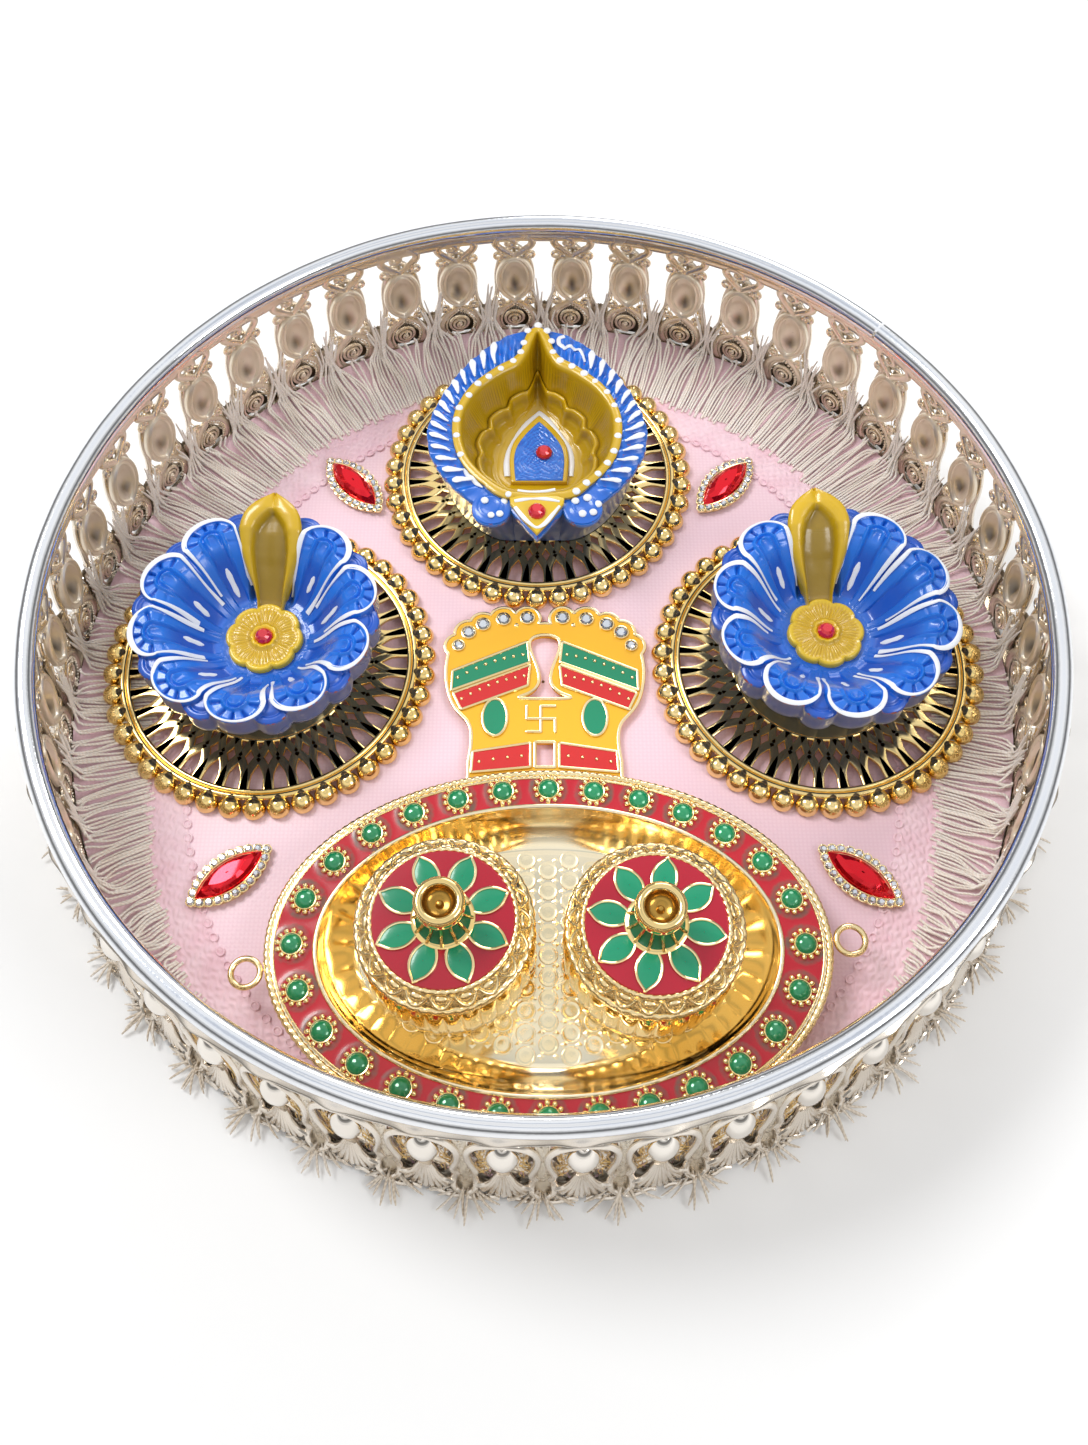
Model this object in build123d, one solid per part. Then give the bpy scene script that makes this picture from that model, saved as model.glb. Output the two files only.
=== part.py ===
from build123d import *
import os
from math import asin, cos, pi, radians, sin

# A round puja thali, in millimetres. Z is up, the table is z = 0, and +Y points
# away from the person who uses it, so the oval tray is at -Y.

# ---- driving dimensions: base ----
BOARD_T = 5.0              # thickness of the base board
BOARD_GAP = 0.4            # gap between the board's edge and the wall around it
SATIN_T = 0.6              # thickness of the satin stretched over the board
LACE_T = 0.8               # thickness of the woven heading of the fringe
LACE_W = 15.0              # width of that heading
LACE_BACK_INSET = 41.6     # from the board's edge to the heading's inner edge, at the back
LACE_FRONT_INSET = 13.6    # the same at the front
LACE_EDGE_INSET = 6.6      # the heading's outer edge stays this far from the board's edge

# ---- driving dimensions: gallery wall and rim ----
MOTIFS = 46                # openwork motifs around the wall
RIM_R = 148.9              # radius of the rim tube's centre line
RIM_TUBE_R = 3.1           # radius of the rim tube's section
RIM_BORE_R = 2.3           # radius of the tube's bore
RIM_TOP_Z = 63.1           # top of the rim tube over the table
RIM_SEAM = 0.5             # gap between the tube's two ends, in degrees
RIM_SEAM_AT = 42.0         # place of that seam around the rim, in degrees
RIM_SEAT_GAP = 0.1         # play between the tube and the wall's top edge
RIM_OUT = 0.7              # the tube's centre line lies this far out of the wall's inner face
WALL_T = 2.0               # thickness of the openwork wall
WALL_FLARE = 6.3           # how much wider the wall is at its foot
WALL_LOW_Z = 0.4           # the wall's foot stays this far off the table
RELIEF_T = 1.8             # depth of the raised arches and columns outside
FOOT_BAND_H = 3.2          # height of the solid band at the wall's foot
TOP_BAND_H = 4.4           # height of the solid band under the rim
SCROLL_H = 10.4            # height of the scroll under that band
ROSETTE_H = 20.0           # height of the rosette at the foot
MOTIF_GAP = 6.8            # open gap between two motifs
MOTIF_LINE = 2.1           # width of the rosette's and the scroll's line
RINGLET_R = 1.9            # outer radius of a ringlet
RINGLET_BORE_R = 0.9       # bore of a ringlet
RINGLET_TIE_H = 1.2        # height of the tie between two ringlets
EGG_LAP = 0.8              # how far the scroll, the egg and the rosette reach into each other
ROSETTE_HEART = 0.5        # size of the rosette's heart against the rosette
HOLLOW_INSET = 2.4         # width of the egg's border round its inner hollow
HOLLOW_T = 0.8             # depth of that hollow
COLUMN_TOP_Z = 25.0        # top of the columns between the motifs
COLUMN_W = 2.0             # width of a column at its top
COLUMN_FOOT_W = 7.2        # width of a column at its foot
ARCH_W = 1.8               # width of the raised arch's line
ARCH_LAP = 0.4             # how far the arch reaches over the egg
ARCH_MOUTH_H = 7.0         # height of the arch's open foot
DOME_T = 1.1               # rise of each of the egg's two outer steps
DOME_INSET = 1.8           # how much smaller than the egg each step is
DOME_SINK = 0.8            # how far the steps reach into the wall
CREST_H = 2.4              # height of the wavy crest under the rim
CREST_DROP = 1.2           # from the wall's top edge down to the crest
CREST_OUT = 4.6            # reach of the crest from the wall's inner face
CREST_WAVE = 0.9           # depth of the crest's waves
CREST_ROOT = 0.6           # how far the crest reaches into the wall
LEAF_OUT = 4.6             # how far the leaf ends stand out at the foot
LEAF_T = 1.8               # thickness of the leaf ends
LEAF_W = 15.5              # width of a leaf end
LEAF_HOLE_R = 1.6          # radius of its small hole
TUFT_OUT = 5.0             # how far the fringe tufts show past the leaf ends
TUFT_T = 1.2               # thickness of a tuft
TUFT_W = 9.2               # width of a tuft where it is widest
TUFT_ROOT_W = 3.2          # width of a tuft at the wall
TUFT_ROUND = 1.2           # length of a tuft's blunt end
TUFT_GAP = 0.05            # play between a tuft and the column in front of it
FRINGE_TOP_Z = 26.0        # height that the fringe climbs up the wall
FRINGE_T = 1.6             # thickness of the layer of threads
FRINGE_GAP = 0.5           # gap between the threads and the wall
FRINGE_LAP = 1.0           # how far the threads start inside the heading's outer edge
FRINGE_FOOT_Z = 4.0        # height over the satin where the threads turn up
FRINGE_FOOT_T = 2.4        # thickness of the threads at that height
FRINGE_HEEL = 5.0          # from the wall to the place where the layer starts to rise
FRINGE_HEEL_T = 0.6        # thickness over the heading at that place

# ---- driving dimensions: lamp stands ----
STAND_R = 55.0             # outer radius of the bead rim
STAND_BEADS = 42           # beads on the rim
STAND_BEAD_R = 3.8         # radius of a bead
STAND_T = 1.4              # thickness of the lattice plate
STAND_LIFT = 2.4           # the plate's height over the satin
STAND_BEAD_H = 3.4         # height kept of each bead
STAND_BEAD_DIP = 0.3       # a bead's middle lies this far under the plate's top
STAND_BAND_LAP = 0.9       # how far the raised ring reaches into the beads
STAND_BAND_W = 2.6         # width of the flat ring inside the beads
STAND_LINE_W = 0.9         # width of the two raised lines beside that ring
STAND_LINE_H = 0.7         # height of those lines
STAND_WEB_W = 5.4          # width of the ring between the arches and the disc
STAND_BAR_W = 1.5          # width of a lattice bar
STAND_ARCH_TIP = 1.0       # how much longer than round an arch's tip is
KITE_AT = 3.0              # from the disc's edge to the middle of a kite window
KITE_BAR_W = 1.9           # width left between two kite windows
KITE_IN = 1.9              # reach of a kite window towards the disc
KITE_OUT = 2.2             # reach of a kite window towards the beads
STAND_DISC_R = 28.0        # radius of the plain central disc
STAND_FOOT_R = 19.0        # outer radius of the foot ring
STAND_FOOT_W = 3.0         # width of the foot ring
STAND_ARCHES = 36          # arched windows in the lattice
STAND_PLACES = {"left": (-90.3, 5.5), "right": (90.7, 6.0), "back": (-2.0, 82.0)}

# ---- driving dimensions: flower lamps ----
FLOWER_R = 39.3            # radius to the tips of the lobes
FLOWER_NOTCH_R = 37.0      # radius to the notches between the lobes
FLOWER_H = 27.6            # height of the clay rim
FLOWER_BASE_SCALE = 0.74   # size of the base against the rim
FLOWER_LOBES = 20          # lobes around the rim
FLOWER_BOWL_R = 31.5       # radius of the bowl at the rim
FLOWER_WELL_R = 13.5       # radius of the bowl's floor
FLOWER_WELL_Z = 9.4        # height of that floor inside the lamp
BLOSSOM_R = 12.4           # radius of the small blossom on the floor
BLOSSOM_NOTCH_R = 10.4     # radius to the notches of that blossom
BLOSSOM_H = 1.8            # height of that blossom
BLOSSOM_LOBES = 8          # lobes of that blossom
BOWL_LIP = 1.0             # how much the bowl widens over the rim
SPOUT_W = 20.0             # width of the leaf-shaped wick rest
SPOUT_L = 21.0             # length of that leaf
SPOUT_SCALE = 0.8          # size of its lower end against its upper end
SPOUT_OUT = 3.4            # how far it stands out past the lobes
SPOUT_UP = 3.6             # how far it stands up over the rim
SPOUT_GROOVE = (6.6, 19.0, 6.0)  # half sizes of the round-bottomed groove in the leaf
SPOUT_GROOVE_TILT = -38.0  # tilt of that groove towards the bowl
FLOWER_OFFSETS = {"left": (0.3, 3.0, -4.5), "right": (0.8, 4.5, 5.0)}

# ---- driving dimensions: leaf lamp ----
LEAF_H = 25.2              # height of the leaf lamp
LEAF_HALF_W = 37.4         # half of its width
LEAF_TIP_Y = 46.4          # distance from its centre to the back tip
LEAF_FRONT_Y = 33.5        # distance from its centre to the flat front
LEAF_RIM_W = 9.5           # width of the painted rim
LEAF_FLOOR_Z = 5.6         # height of the bowl's floor inside the lamp
LEAF_FLOOR_INSET = 4.0     # how much narrower the floor is than the mouth
LEAF_BASE_SCALE = 0.86     # size of the base against the rim
LEAF_LOBE_R = 6.6          # radius of the two round lobes at the front
LEAF_LOBE_X = 15.0         # sideways place of those lobes
LEAF_LOBE_BACK = 1.5       # from the flat front back to the lobes' middles
LEAF_LOBE_TAPER = 0.75     # size of a lobe's foot against its top
LEAF_LOBE_LEAN = 7.5       # how far a lobe's foot lies behind its top
LEAF_POINT_Y = 44.2        # distance from the centre to the front point
LEAF_POINT_HALF_W = 9.5    # half width of that point where it leaves the front
LEAF_POINT_ROOT = 4.0      # how far the point reaches back into the body
LEAF_POINT_LEAN = 11.5     # how far the point's foot lies behind its top
MEHRAB_W = 24.0            # width of the raised arch in the bowl
MEHRAB_L = 29.0            # length of the raised arch
MEHRAB_H = 2.2             # height of the raised arch
MEHRAB_AT_Y = 2.0          # the arch's middle, behind the lamp's centre

# ---- driving dimensions: glued stones ----
GEM_R = 2.9                # radius of a red lamp stone
GEM_H = 2.4                # height of a red lamp stone
GEM_GIRDLE = 0.35          # height of its girdle, as a share
GEM_TABLE = 0.55           # radius of its flat top, as a share
BOWL_GEM_AT = (2.0, 2.6)   # place of the stone on the raised arch
LIP_GEM_OUT = 1.4          # the lip stone's middle, in front of the flat front

# ---- driving dimensions: marquise jewels ----
JEWEL_L = 30.4             # length of the setting
JEWEL_W = 14.6             # width of the setting
JEWEL_T = 1.0              # thickness of the setting
CRYSTAL_L = 24.0           # length of the red crystal
CRYSTAL_W = 9.0            # width of the red crystal
CRYSTAL_H = 3.4            # height of the red crystal
CRYSTAL_GIRDLE_H = 1.0     # height of its girdle
CRYSTAL_TABLE_L = 0.62     # length of its flat top, as a share
CRYSTAL_TABLE_W = 0.5      # width of its flat top, as a share
RHINESTONE_R = 1.3         # radius of a small clear stone
RHINESTONE_H = 1.4         # height of a small clear stone
RHINESTONE_GIRDLE = 0.5    # height of its girdle
RHINESTONE_TABLE = 0.6     # radius of its flat top, as a share
RHINESTONES_PER_SIDE = 11  # clear stones along one side of a jewel
JEWEL_PLACES = (
    (-67.3, 78.2, -48.5), (64.7, 78.2, 48.5),
    (-95.8, -67.8, 38.2), (97.0, -67.8, -38.2),
)

# ---- driving dimensions: footprint plaque ----
PLAQUE_X = 0.6             # the plaque's middle line
PLAQUE_T = 2.4             # thickness of the plaque
PLAQUE_HEEL_Y = -45.0      # heel end, under the tray's flange
ENAMEL_T = 0.4             # thickness of the colour fields
TOES = (                   # place and radius of the toes of the right foot
    (5.9, 22.8, 4.3), (13.9, 22.3, 4.7), (20.7, 20.3, 4.5), (25.5, 17.2, 4.6), (28.7, 12.2, 4.5),
)
FOOT_SIDE = (              # outer side of the right foot, from the little toe to the heel
    (28.5, 18.0), (32.0, 9.0), (31.9, -3.5), (28.4, -11.8), (24.6, -16.5), (23.6, -21.5), (24.4, -30.0),
)
FOOT_SLOT = ((0, 16.4), (4.6, 14.6), (2.9, 5.0), (5.7, -5.6), (0, -7.6))  # gap between the feet
HEEL_WINDOW = (6.4, 8.8)   # width and length of the window between the heels
HEEL_WINDOW_Y = -27.5      # middle of that window
GREEN_BAND = ((5.8, 13.6), (30.4, 2.6), (30.6, -4.6), (5.0, 5.8))
RED_BAND = ((4.9, 4.8), (30.0, -5.6), (27.2, -11.6), (5.6, -2.8))
HEEL_BAND = ((4.6, -23.6), (23.0, -26.6), (23.4, -33.8), (4.6, -32.0))
DROP_AT = (16.2, -14.4)    # middle of the green drop on the right foot
DROP_SIZE = (4.0, 6.6)     # half width and half length of that drop

# ---- driving dimensions: oval tray ----
TRAY_X = 1.6               # sideways place of the tray's centre
TRAY_WALL_GAP = 4.8        # from the tray's front edge to the wall
TRAY_A = 82.6              # half of its length
TRAY_B = 55.4              # half of its width
TRAY_RIM_W = 15.4          # width of the flange at the ends
TRAY_RIM_W_SIDE = 12.6     # width of the flange at the sides
TRAY_TOP_Z = 18.0          # top of the flange over the table
TRAY_FLANGE_T = 2.2        # thickness of the flange
TRAY_WALL_T = 1.1          # thickness of the dish
TRAY_WALL_RUN = 10.0       # how far the dish wall leans in
TRAY_ROPE_R = 1.3          # radius of the rope edge
TRAY_STONES = 28           # green stones on the flange
TRAY_STONE_R = 3.15        # radius of a green stone
TRAY_STONE_GIRDLE = 0.7    # height of a green stone's straight edge
TRAY_STONE_DOME = 1.1      # rise of its dome
COLLAR_R = 0.75            # radius of the collar's section
COLLAR_GAP = 0.15          # gap between the stone and its collar
ENAMEL_GAP = 0.2           # gap between the rope edge and the red ring
ENAMEL_LIP = 2.0           # plain flange left between the red ring and the dish
EAR_R = 4.2                # radius of an ear ring's centre line
EAR_WIRE_R = 1.0           # radius of its wire
EAR_GAP = 0.05             # play between an ear ring and the rope edge
EAR_ANGLES = {"left": 187.6, "right": 1.5}

# ---- driving dimensions: lidded pots ----
POT_R = 25.6               # outer radius of the pot's body
POT_H = 24.6               # height of the pot's body
POT_WALL = 1.6             # wall of the pot
POT_FLOOR = 2.0            # floor of the pot
POT_NECK_IN = 2.0          # how far the mouth lies inside the flutes
POT_FACE_IN = 0.9          # how far the plain body lies inside the flutes
POT_BEVEL_H = 1.4          # height of the bevel at the foot
POT_NECK_H = 1.2           # height of the straight neck
POT_SHOULDER_H = 1.8       # height of the shoulder under the neck
POT_RIBS = 30              # flutes around the body
POT_RIB_R = 1.1            # radius of a flute
POT_RIB_LOW = 3.0          # bottom of the flutes over the pot's foot
POT_RIB_CUT = 7.0          # how much shorter than the body the flutes are
LID_INSET = 0.2            # how far the lid's rope edge lies inside the pot's flutes
LID_EDGE_H = 3.4           # height of that edge
LID_DOME_H = 4.4           # rise from the edge to the coloured disc
LID_TOP_T = 1.6            # thickness of the lid's shell
LID_PLUG_GAP = 0.4         # gap between the lid's skirt and the pot's mouth
LID_PLUG_H = 3.0           # how deep the skirt goes in
LID_ROPE_R = 0.7           # radius of the rope ring round the coloured disc
LID_STEP_Z = 1.6           # height of the step halfway up the dome
ENAMEL_INSET = 5.8         # how far the coloured disc lies inside the lid's rope edge
PETALS = 8                 # green petals on the disc
PETAL_L = 10.6             # length of a petal
PETAL_W = 6.2              # width of a petal
PETAL_AT = 4.9             # from the knob's foot to the middle of a petal
KNOB_H = 16.6              # height of the knob
KNOB_TOP_R = 7.0           # radius of the knob's cup
KNOB_NECK_R = 4.2          # radius of the knob's neck
KNOB_NECK_AT = 0.46        # height of the neck, as a share of the knob
KNOB_FOOT_H = 1.2          # height of the foot's straight edge
KNOB_CUP_H = 9.0           # height of the cup
KNOB_LIP_W = 1.2           # width and height of the cup's rounded lip
KNOB_HOLLOW = 3.6          # depth of the hollow in the cup
LID_CLEAR = 0.1            # play between the knob's foot and the coloured disc
KNOB_FOOT_R = 8.6          # radius of the knob's flared foot
POT_OFFSETS = {"left": (-29.0, 1.3), "right": (29.6, -0.1)}

# ---- sizes that follow from the ones above ----
FLOOR_Z = BOARD_T + SATIN_T
LACE_TOP_Z = FLOOR_Z + LACE_T
RIM_Z = RIM_TOP_Z - RIM_TUBE_R
WALL_TOP_R = RIM_R - RIM_OUT
WALL_TOP_Z = RIM_Z - RIM_TUBE_R - RIM_SEAT_GAP
PITCH = 360.0 / MOTIFS
STAND_TOP_Z = FLOOR_Z + STAND_LIFT + STAND_T
TRAY_FLOOR_Z = FLOOR_Z + TRAY_WALL_T
POT_MOUTH_R = POT_R - POT_NECK_IN - POT_WALL
LID_R = POT_R - LID_INSET
ENAMEL_R = LID_R - ENAMEL_INSET
POT_Z = TRAY_FLOOR_Z
LID_Z = POT_Z + POT_H
ENAMEL_Z = LID_Z + LID_EDGE_H + LID_DOME_H
LOW = (Align.CENTER, Align.CENTER, Align.MIN)


def wall_radius(z):
    """Inner radius of the flared wall at a height."""
    return WALL_TOP_R + WALL_FLARE * (WALL_TOP_Z - z) / (WALL_TOP_Z - WALL_LOW_Z)


BOARD_R = wall_radius(FLOOR_Z) - BOARD_GAP
LACE_BACK_R = BOARD_R - LACE_BACK_INSET
LACE_FRONT_R = BOARD_R - LACE_FRONT_INSET
TRAY_PLACE = (TRAY_X, TRAY_B + TRAY_WALL_GAP - wall_radius(TRAY_TOP_Z))


def smooth(t):
    """Soft step from 0 to 1."""
    t = min(1.0, max(0.0, t))
    return t * t * (3 - 2 * t)


def lace_radius(angle_from_back):
    """Inner radius of the lace heading, wider towards the front."""
    swing = abs((angle_from_back + 180) % 360 - 180)
    return LACE_BACK_R + (LACE_FRONT_R - LACE_BACK_R) * smooth((swing - 85) / 75)


def closed_curve(radius_at, count=36):
    """Smooth closed face whose radius is a function of the angle from +Y."""
    points = []
    for i in range(count):
        angle = 360.0 * i / count
        r = radius_at(angle)
        points.append((r * sin(radians(angle)), r * cos(radians(angle))))
    return make_face(Spline(points, periodic=True).edges())


def around(shape, count, start=0.0):
    """Copies of a shape around Z."""
    return [Rot(0, 0, start + 360.0 * i / count) * shape for i in range(count)]


def turned(profile_points):
    """Solid turned about Z from an outline in radius and height."""
    outline = Plane.XZ * make_face(Polyline(*profile_points, close=True).edges())
    return revolve(outline, Axis.Z)


def lobed_face(tip_r, notch_r, lobes):
    """Flat face with round lobes, one arc for each."""
    step = 2 * pi / lobes
    arcs = []
    for i in range(lobes):
        a, m, b = (i - 0.5) * step, i * step, (i + 0.5) * step
        start = (notch_r * sin(a), notch_r * cos(a))
        top = (tip_r * sin(m), tip_r * cos(m))
        end = (notch_r * sin(b), notch_r * cos(b))
        arcs.append(ThreePointArc(start, top, end))
    return make_face(Curve() + arcs)


def marquise_face(length, width):
    """Pointed oval between two arcs."""
    upper = ThreePointArc((-length / 2, 0), (0, width / 2), (length / 2, 0))
    lower = ThreePointArc((length / 2, 0), (0, -width / 2), (-length / 2, 0))
    return make_face(Curve() + [upper, lower])


def ellipse_ring(a, b, section_r, z):
    """Round bar bent to an ellipse."""
    path = Pos(0, 0, z) * Ellipse(a, b).edge()
    section = Plane(origin=path @ 0, z_dir=path % 0) * Circle(section_r)
    return sweep(section, path=path)


# ---- base ----
def make_board():
    return Cylinder(BOARD_R, BOARD_T, align=(Align.CENTER, Align.CENTER, Align.MIN))


def make_satin():
    disc = Cylinder(BOARD_R, SATIN_T, align=(Align.CENTER, Align.CENTER, Align.MIN))
    return Pos(0, 0, BOARD_T) * disc


def lace_outer_face():
    return closed_curve(lambda a: min(BOARD_R - LACE_EDGE_INSET, lace_radius(a) + LACE_W))


def make_lace():
    band = lace_outer_face() - closed_curve(lace_radius)
    return Pos(0, 0, FLOOR_Z) * extrude(band, LACE_T)


def make_fringe():
    """Layer of threads from the heading out to the wall and up its inner face."""
    low_r = wall_radius(FLOOR_Z) - FRINGE_GAP
    high_r = wall_radius(FRINGE_TOP_Z) - FRINGE_GAP
    start_r = LACE_BACK_R + LACE_W - FRINGE_LAP
    outline = [
        (start_r, FLOOR_Z),
        (low_r, FLOOR_Z),
        (high_r, FRINGE_TOP_Z),
        (high_r - FRINGE_T, FRINGE_TOP_Z),
        (low_r - FRINGE_FOOT_T, FLOOR_Z + FRINGE_FOOT_Z),
        (low_r - FRINGE_HEEL, LACE_TOP_Z + FRINGE_HEEL_T),
        (start_r, LACE_TOP_Z),
    ]
    layer = turned(outline)
    heading = extrude(lace_outer_face(), RIM_Z)
    return layer - heading


def make_tufts():
    """Ends of the fringe that spread out on the table between the leaf ends."""
    near = wall_radius(0) + WALL_T + RELIEF_T + TUFT_GAP
    far = wall_radius(0) + WALL_T + LEAF_OUT + TUFT_OUT
    shoulder = far - TUFT_ROUND
    root, half = TUFT_ROOT_W / 2, TUFT_W / 2
    outline = Polyline(
        (near, -root), (shoulder, -half), (far, 0), (shoulder, half), (near, root), close=True)
    fan = Pos(0, 0, WALL_LOW_Z) * extrude(make_face(outline.edges()), TUFT_T)
    return Compound(children=around(fan, MOTIFS, PITCH / 2))


# ---- gallery wall ----
def wall_sector(offset, thickness, top_z):
    """Slice of the flared wall, one motif wide, centred on +X."""
    low, high = wall_radius(WALL_LOW_Z) + offset, wall_radius(top_z) + offset
    outline = [(low, WALL_LOW_Z), (low + thickness, WALL_LOW_Z), (high + thickness, top_z), (high, top_z)]
    face = Plane.XZ * make_face(Polyline(*outline, close=True).edges())
    return Rot(0, 0, -PITCH / 2) * revolve(face, Axis.Z, PITCH)


def facing_out(sketch):
    """Pushes a sketch, drawn as width and height, out through the wall."""
    inside = wall_radius(WALL_TOP_Z) * cos(radians(PITCH)) - WALL_T
    outside = wall_radius(WALL_LOW_Z) + WALL_T + RELIEF_T
    return extrude(Plane.YZ.offset(inside) * sketch, outside + WALL_T - inside)


def ring_face(x, z, outer, inner):
    return Pos(x, z) * (Circle(outer) - Circle(inner))


def motif_half():
    """Half of one motif's share of the wall at its foot."""
    return pi * wall_radius(0) / MOTIFS


def egg_size():
    """Height of the egg's middle, and half of its width and height."""
    low = WALL_LOW_Z + ROSETTE_H - EGG_LAP
    high = WALL_TOP_Z - TOP_BAND_H - SCROLL_H + 2 * EGG_LAP
    return (low + high) / 2, motif_half() - MOTIF_GAP / 2, (high - low) / 2


def line_ring(half_w, half_h):
    """Oval line of the wall's usual width."""
    return Ellipse(half_w, half_h) - Ellipse(half_w - MOTIF_LINE, half_h - MOTIF_LINE)


def motif_face():
    """One openwork motif: scroll, ringlets, egg and rosette, from the top down."""
    full_w = 2.4 * motif_half()
    egg_z, egg_w, egg_h = egg_size()
    band = Pos(0, WALL_TOP_Z - TOP_BAND_H / 2) * Rectangle(full_w, TOP_BAND_H)
    curl = Pos(egg_w / 2, 0) * Ellipse(egg_w / 3, SCROLL_H / 7)
    scroll_z = WALL_TOP_Z - TOP_BAND_H - SCROLL_H / 2 + EGG_LAP
    scroll = Pos(0, scroll_z) * (line_ring(egg_w, SCROLL_H / 2) + curl)
    egg = Pos(0, egg_z) * Ellipse(egg_w, egg_h)
    heart = Ellipse(egg_w * ROSETTE_HEART, ROSETTE_H / 2 * ROSETTE_HEART)
    tie = Rectangle(2 * egg_w - MOTIF_LINE, MOTIF_LINE)
    rosette = Pos(0, WALL_LOW_Z + ROSETTE_H / 2) * (line_ring(egg_w, ROSETTE_H / 2) + heart + tie)
    foot = Pos(0, WALL_LOW_Z + FOOT_BAND_H / 2) * Rectangle(full_w, FOOT_BAND_H)
    face = band + scroll + egg + rosette + foot
    for z in (egg_z + egg_h, egg_z - egg_h):
        face = face + Pos(0, z) * Rectangle(2 * egg_w - RINGLET_R, RINGLET_TIE_H)
        for side in (-1, 1):
            face = face + ring_face(side * (egg_w - RINGLET_R / 2), z, RINGLET_R, RINGLET_BORE_R)
    return face


def column_face():
    """Half columns at both edges of a motif, wider at the foot."""
    edge = motif_half()
    foot_x, top_x, out_x = edge - COLUMN_FOOT_W / 2, edge - COLUMN_W / 2, edge + COLUMN_W / 2
    mid_z = (WALL_LOW_Z + FOOT_BAND_H + COLUMN_TOP_Z) / 2
    column = make_face(Polyline(
        (out_x, WALL_LOW_Z), (foot_x, WALL_LOW_Z), (top_x, mid_z),
        (top_x, COLUMN_TOP_Z), (out_x, COLUMN_TOP_Z), close=True).edges())
    return column + mirror(column, Plane.YZ)


def arch_face():
    """Raised horseshoe around the egg, open at its foot."""
    egg_z, egg_w, egg_h = egg_size()
    arch = Ellipse(egg_w + ARCH_W - ARCH_LAP, egg_h + ARCH_W) - Ellipse(egg_w - ARCH_LAP, egg_h - ARCH_LAP)
    return Pos(0, egg_z) * (arch - Pos(0, -egg_h) * Rectangle(egg_w, ARCH_MOUTH_H))


def make_egg_dome():
    """Stepped dome on the outer face of the egg."""
    egg_z, egg_w, egg_h = egg_size()
    step = Plane.YZ.offset(wall_radius(egg_z - egg_h / 2) + WALL_T - DOME_SINK)
    low_oval = Pos(0, egg_z) * Ellipse(egg_w - DOME_INSET, egg_h - DOME_INSET)
    high_oval = Pos(0, egg_z) * Ellipse(egg_w - 2 * DOME_INSET, egg_h - 2 * DOME_INSET)
    low = extrude(step * low_oval, DOME_T + DOME_SINK)
    return low + extrude(step * high_oval, 2 * DOME_T + DOME_SINK)


def make_egg_hollow():
    """Shallow oval hollow in the inner face of the egg."""
    egg_z, egg_w, egg_h = egg_size()
    oval = Pos(0, egg_z) * Ellipse(egg_w - HOLLOW_INSET, egg_h - HOLLOW_INSET)
    start = wall_radius(WALL_TOP_Z) - WALL_T
    return extrude(Plane.YZ.offset(start) * oval, wall_radius(egg_z) + HOLLOW_T - start)


def make_crest():
    """One motif's share of the wavy ledge under the rim."""
    turn = radians(PITCH / 2)
    inner = wall_radius(WALL_TOP_Z) + WALL_T - CREST_ROOT
    crown = wall_radius(WALL_TOP_Z) + CREST_OUT
    dip = crown - CREST_WAVE
    left, right = (dip * cos(turn), dip * sin(turn)), (dip * cos(turn), -dip * sin(turn))
    wave = ThreePointArc(right, (crown, 0), left)
    back = Polyline(
        left, (inner * cos(turn), inner * sin(turn)), (inner * cos(turn), -inner * sin(turn)), right)
    face = make_face(Curve() + [wave, back])
    return Pos(0, 0, WALL_TOP_Z - CREST_DROP - CREST_H) * extrude(face, CREST_H)


def make_leaf_end():
    """One motif's leaf end, flat at the foot of the wall, with a small hole."""
    foot_r = wall_radius(WALL_LOW_Z) + WALL_T
    length = LEAF_OUT + WALL_T
    leaf = Ellipse(length, LEAF_W / 2) - Pos(length / 2 - LEAF_HOLE_R / 2, 0) * Circle(LEAF_HOLE_R)
    keep = Pos(foot_r - WALL_T / 2, 0) * Rectangle(length, LEAF_W, align=(Align.MIN, Align.CENTER))
    return Pos(0, 0, WALL_LOW_Z) * extrude(Pos(foot_r - WALL_T, 0) * leaf & keep, LEAF_T)


def make_panel():
    """One motif of the wall with its share of the crest and the leaf ends."""
    plate = wall_sector(0, WALL_T, WALL_TOP_Z) & facing_out(motif_face())
    relief_faces = arch_face() + column_face()
    relief = wall_sector(WALL_T / 2, WALL_T / 2 + RELIEF_T, WALL_TOP_Z - TOP_BAND_H)
    relief = relief & facing_out(relief_faces)
    panel = plate + relief + make_egg_dome() + make_crest() + make_leaf_end()
    return panel - make_egg_hollow()


def make_wall():
    return Compound(children=around(make_panel(), MOTIFS))


def make_rim():
    section = Plane.XZ * (Pos(RIM_R, RIM_Z) * (Circle(RIM_TUBE_R) - Circle(RIM_BORE_R)))
    return Rot(0, 0, RIM_SEAM_AT) * revolve(section, Axis.Z, 360 - RIM_SEAM)


# ---- lamp stands ----
def raised_line(outer_r):
    """Thin ring that stands up on a stand's plate."""
    ring = Circle(outer_r) - Circle(outer_r - STAND_LINE_W)
    return Pos(0, 0, STAND_T) * extrude(ring, STAND_LINE_H)


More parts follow.
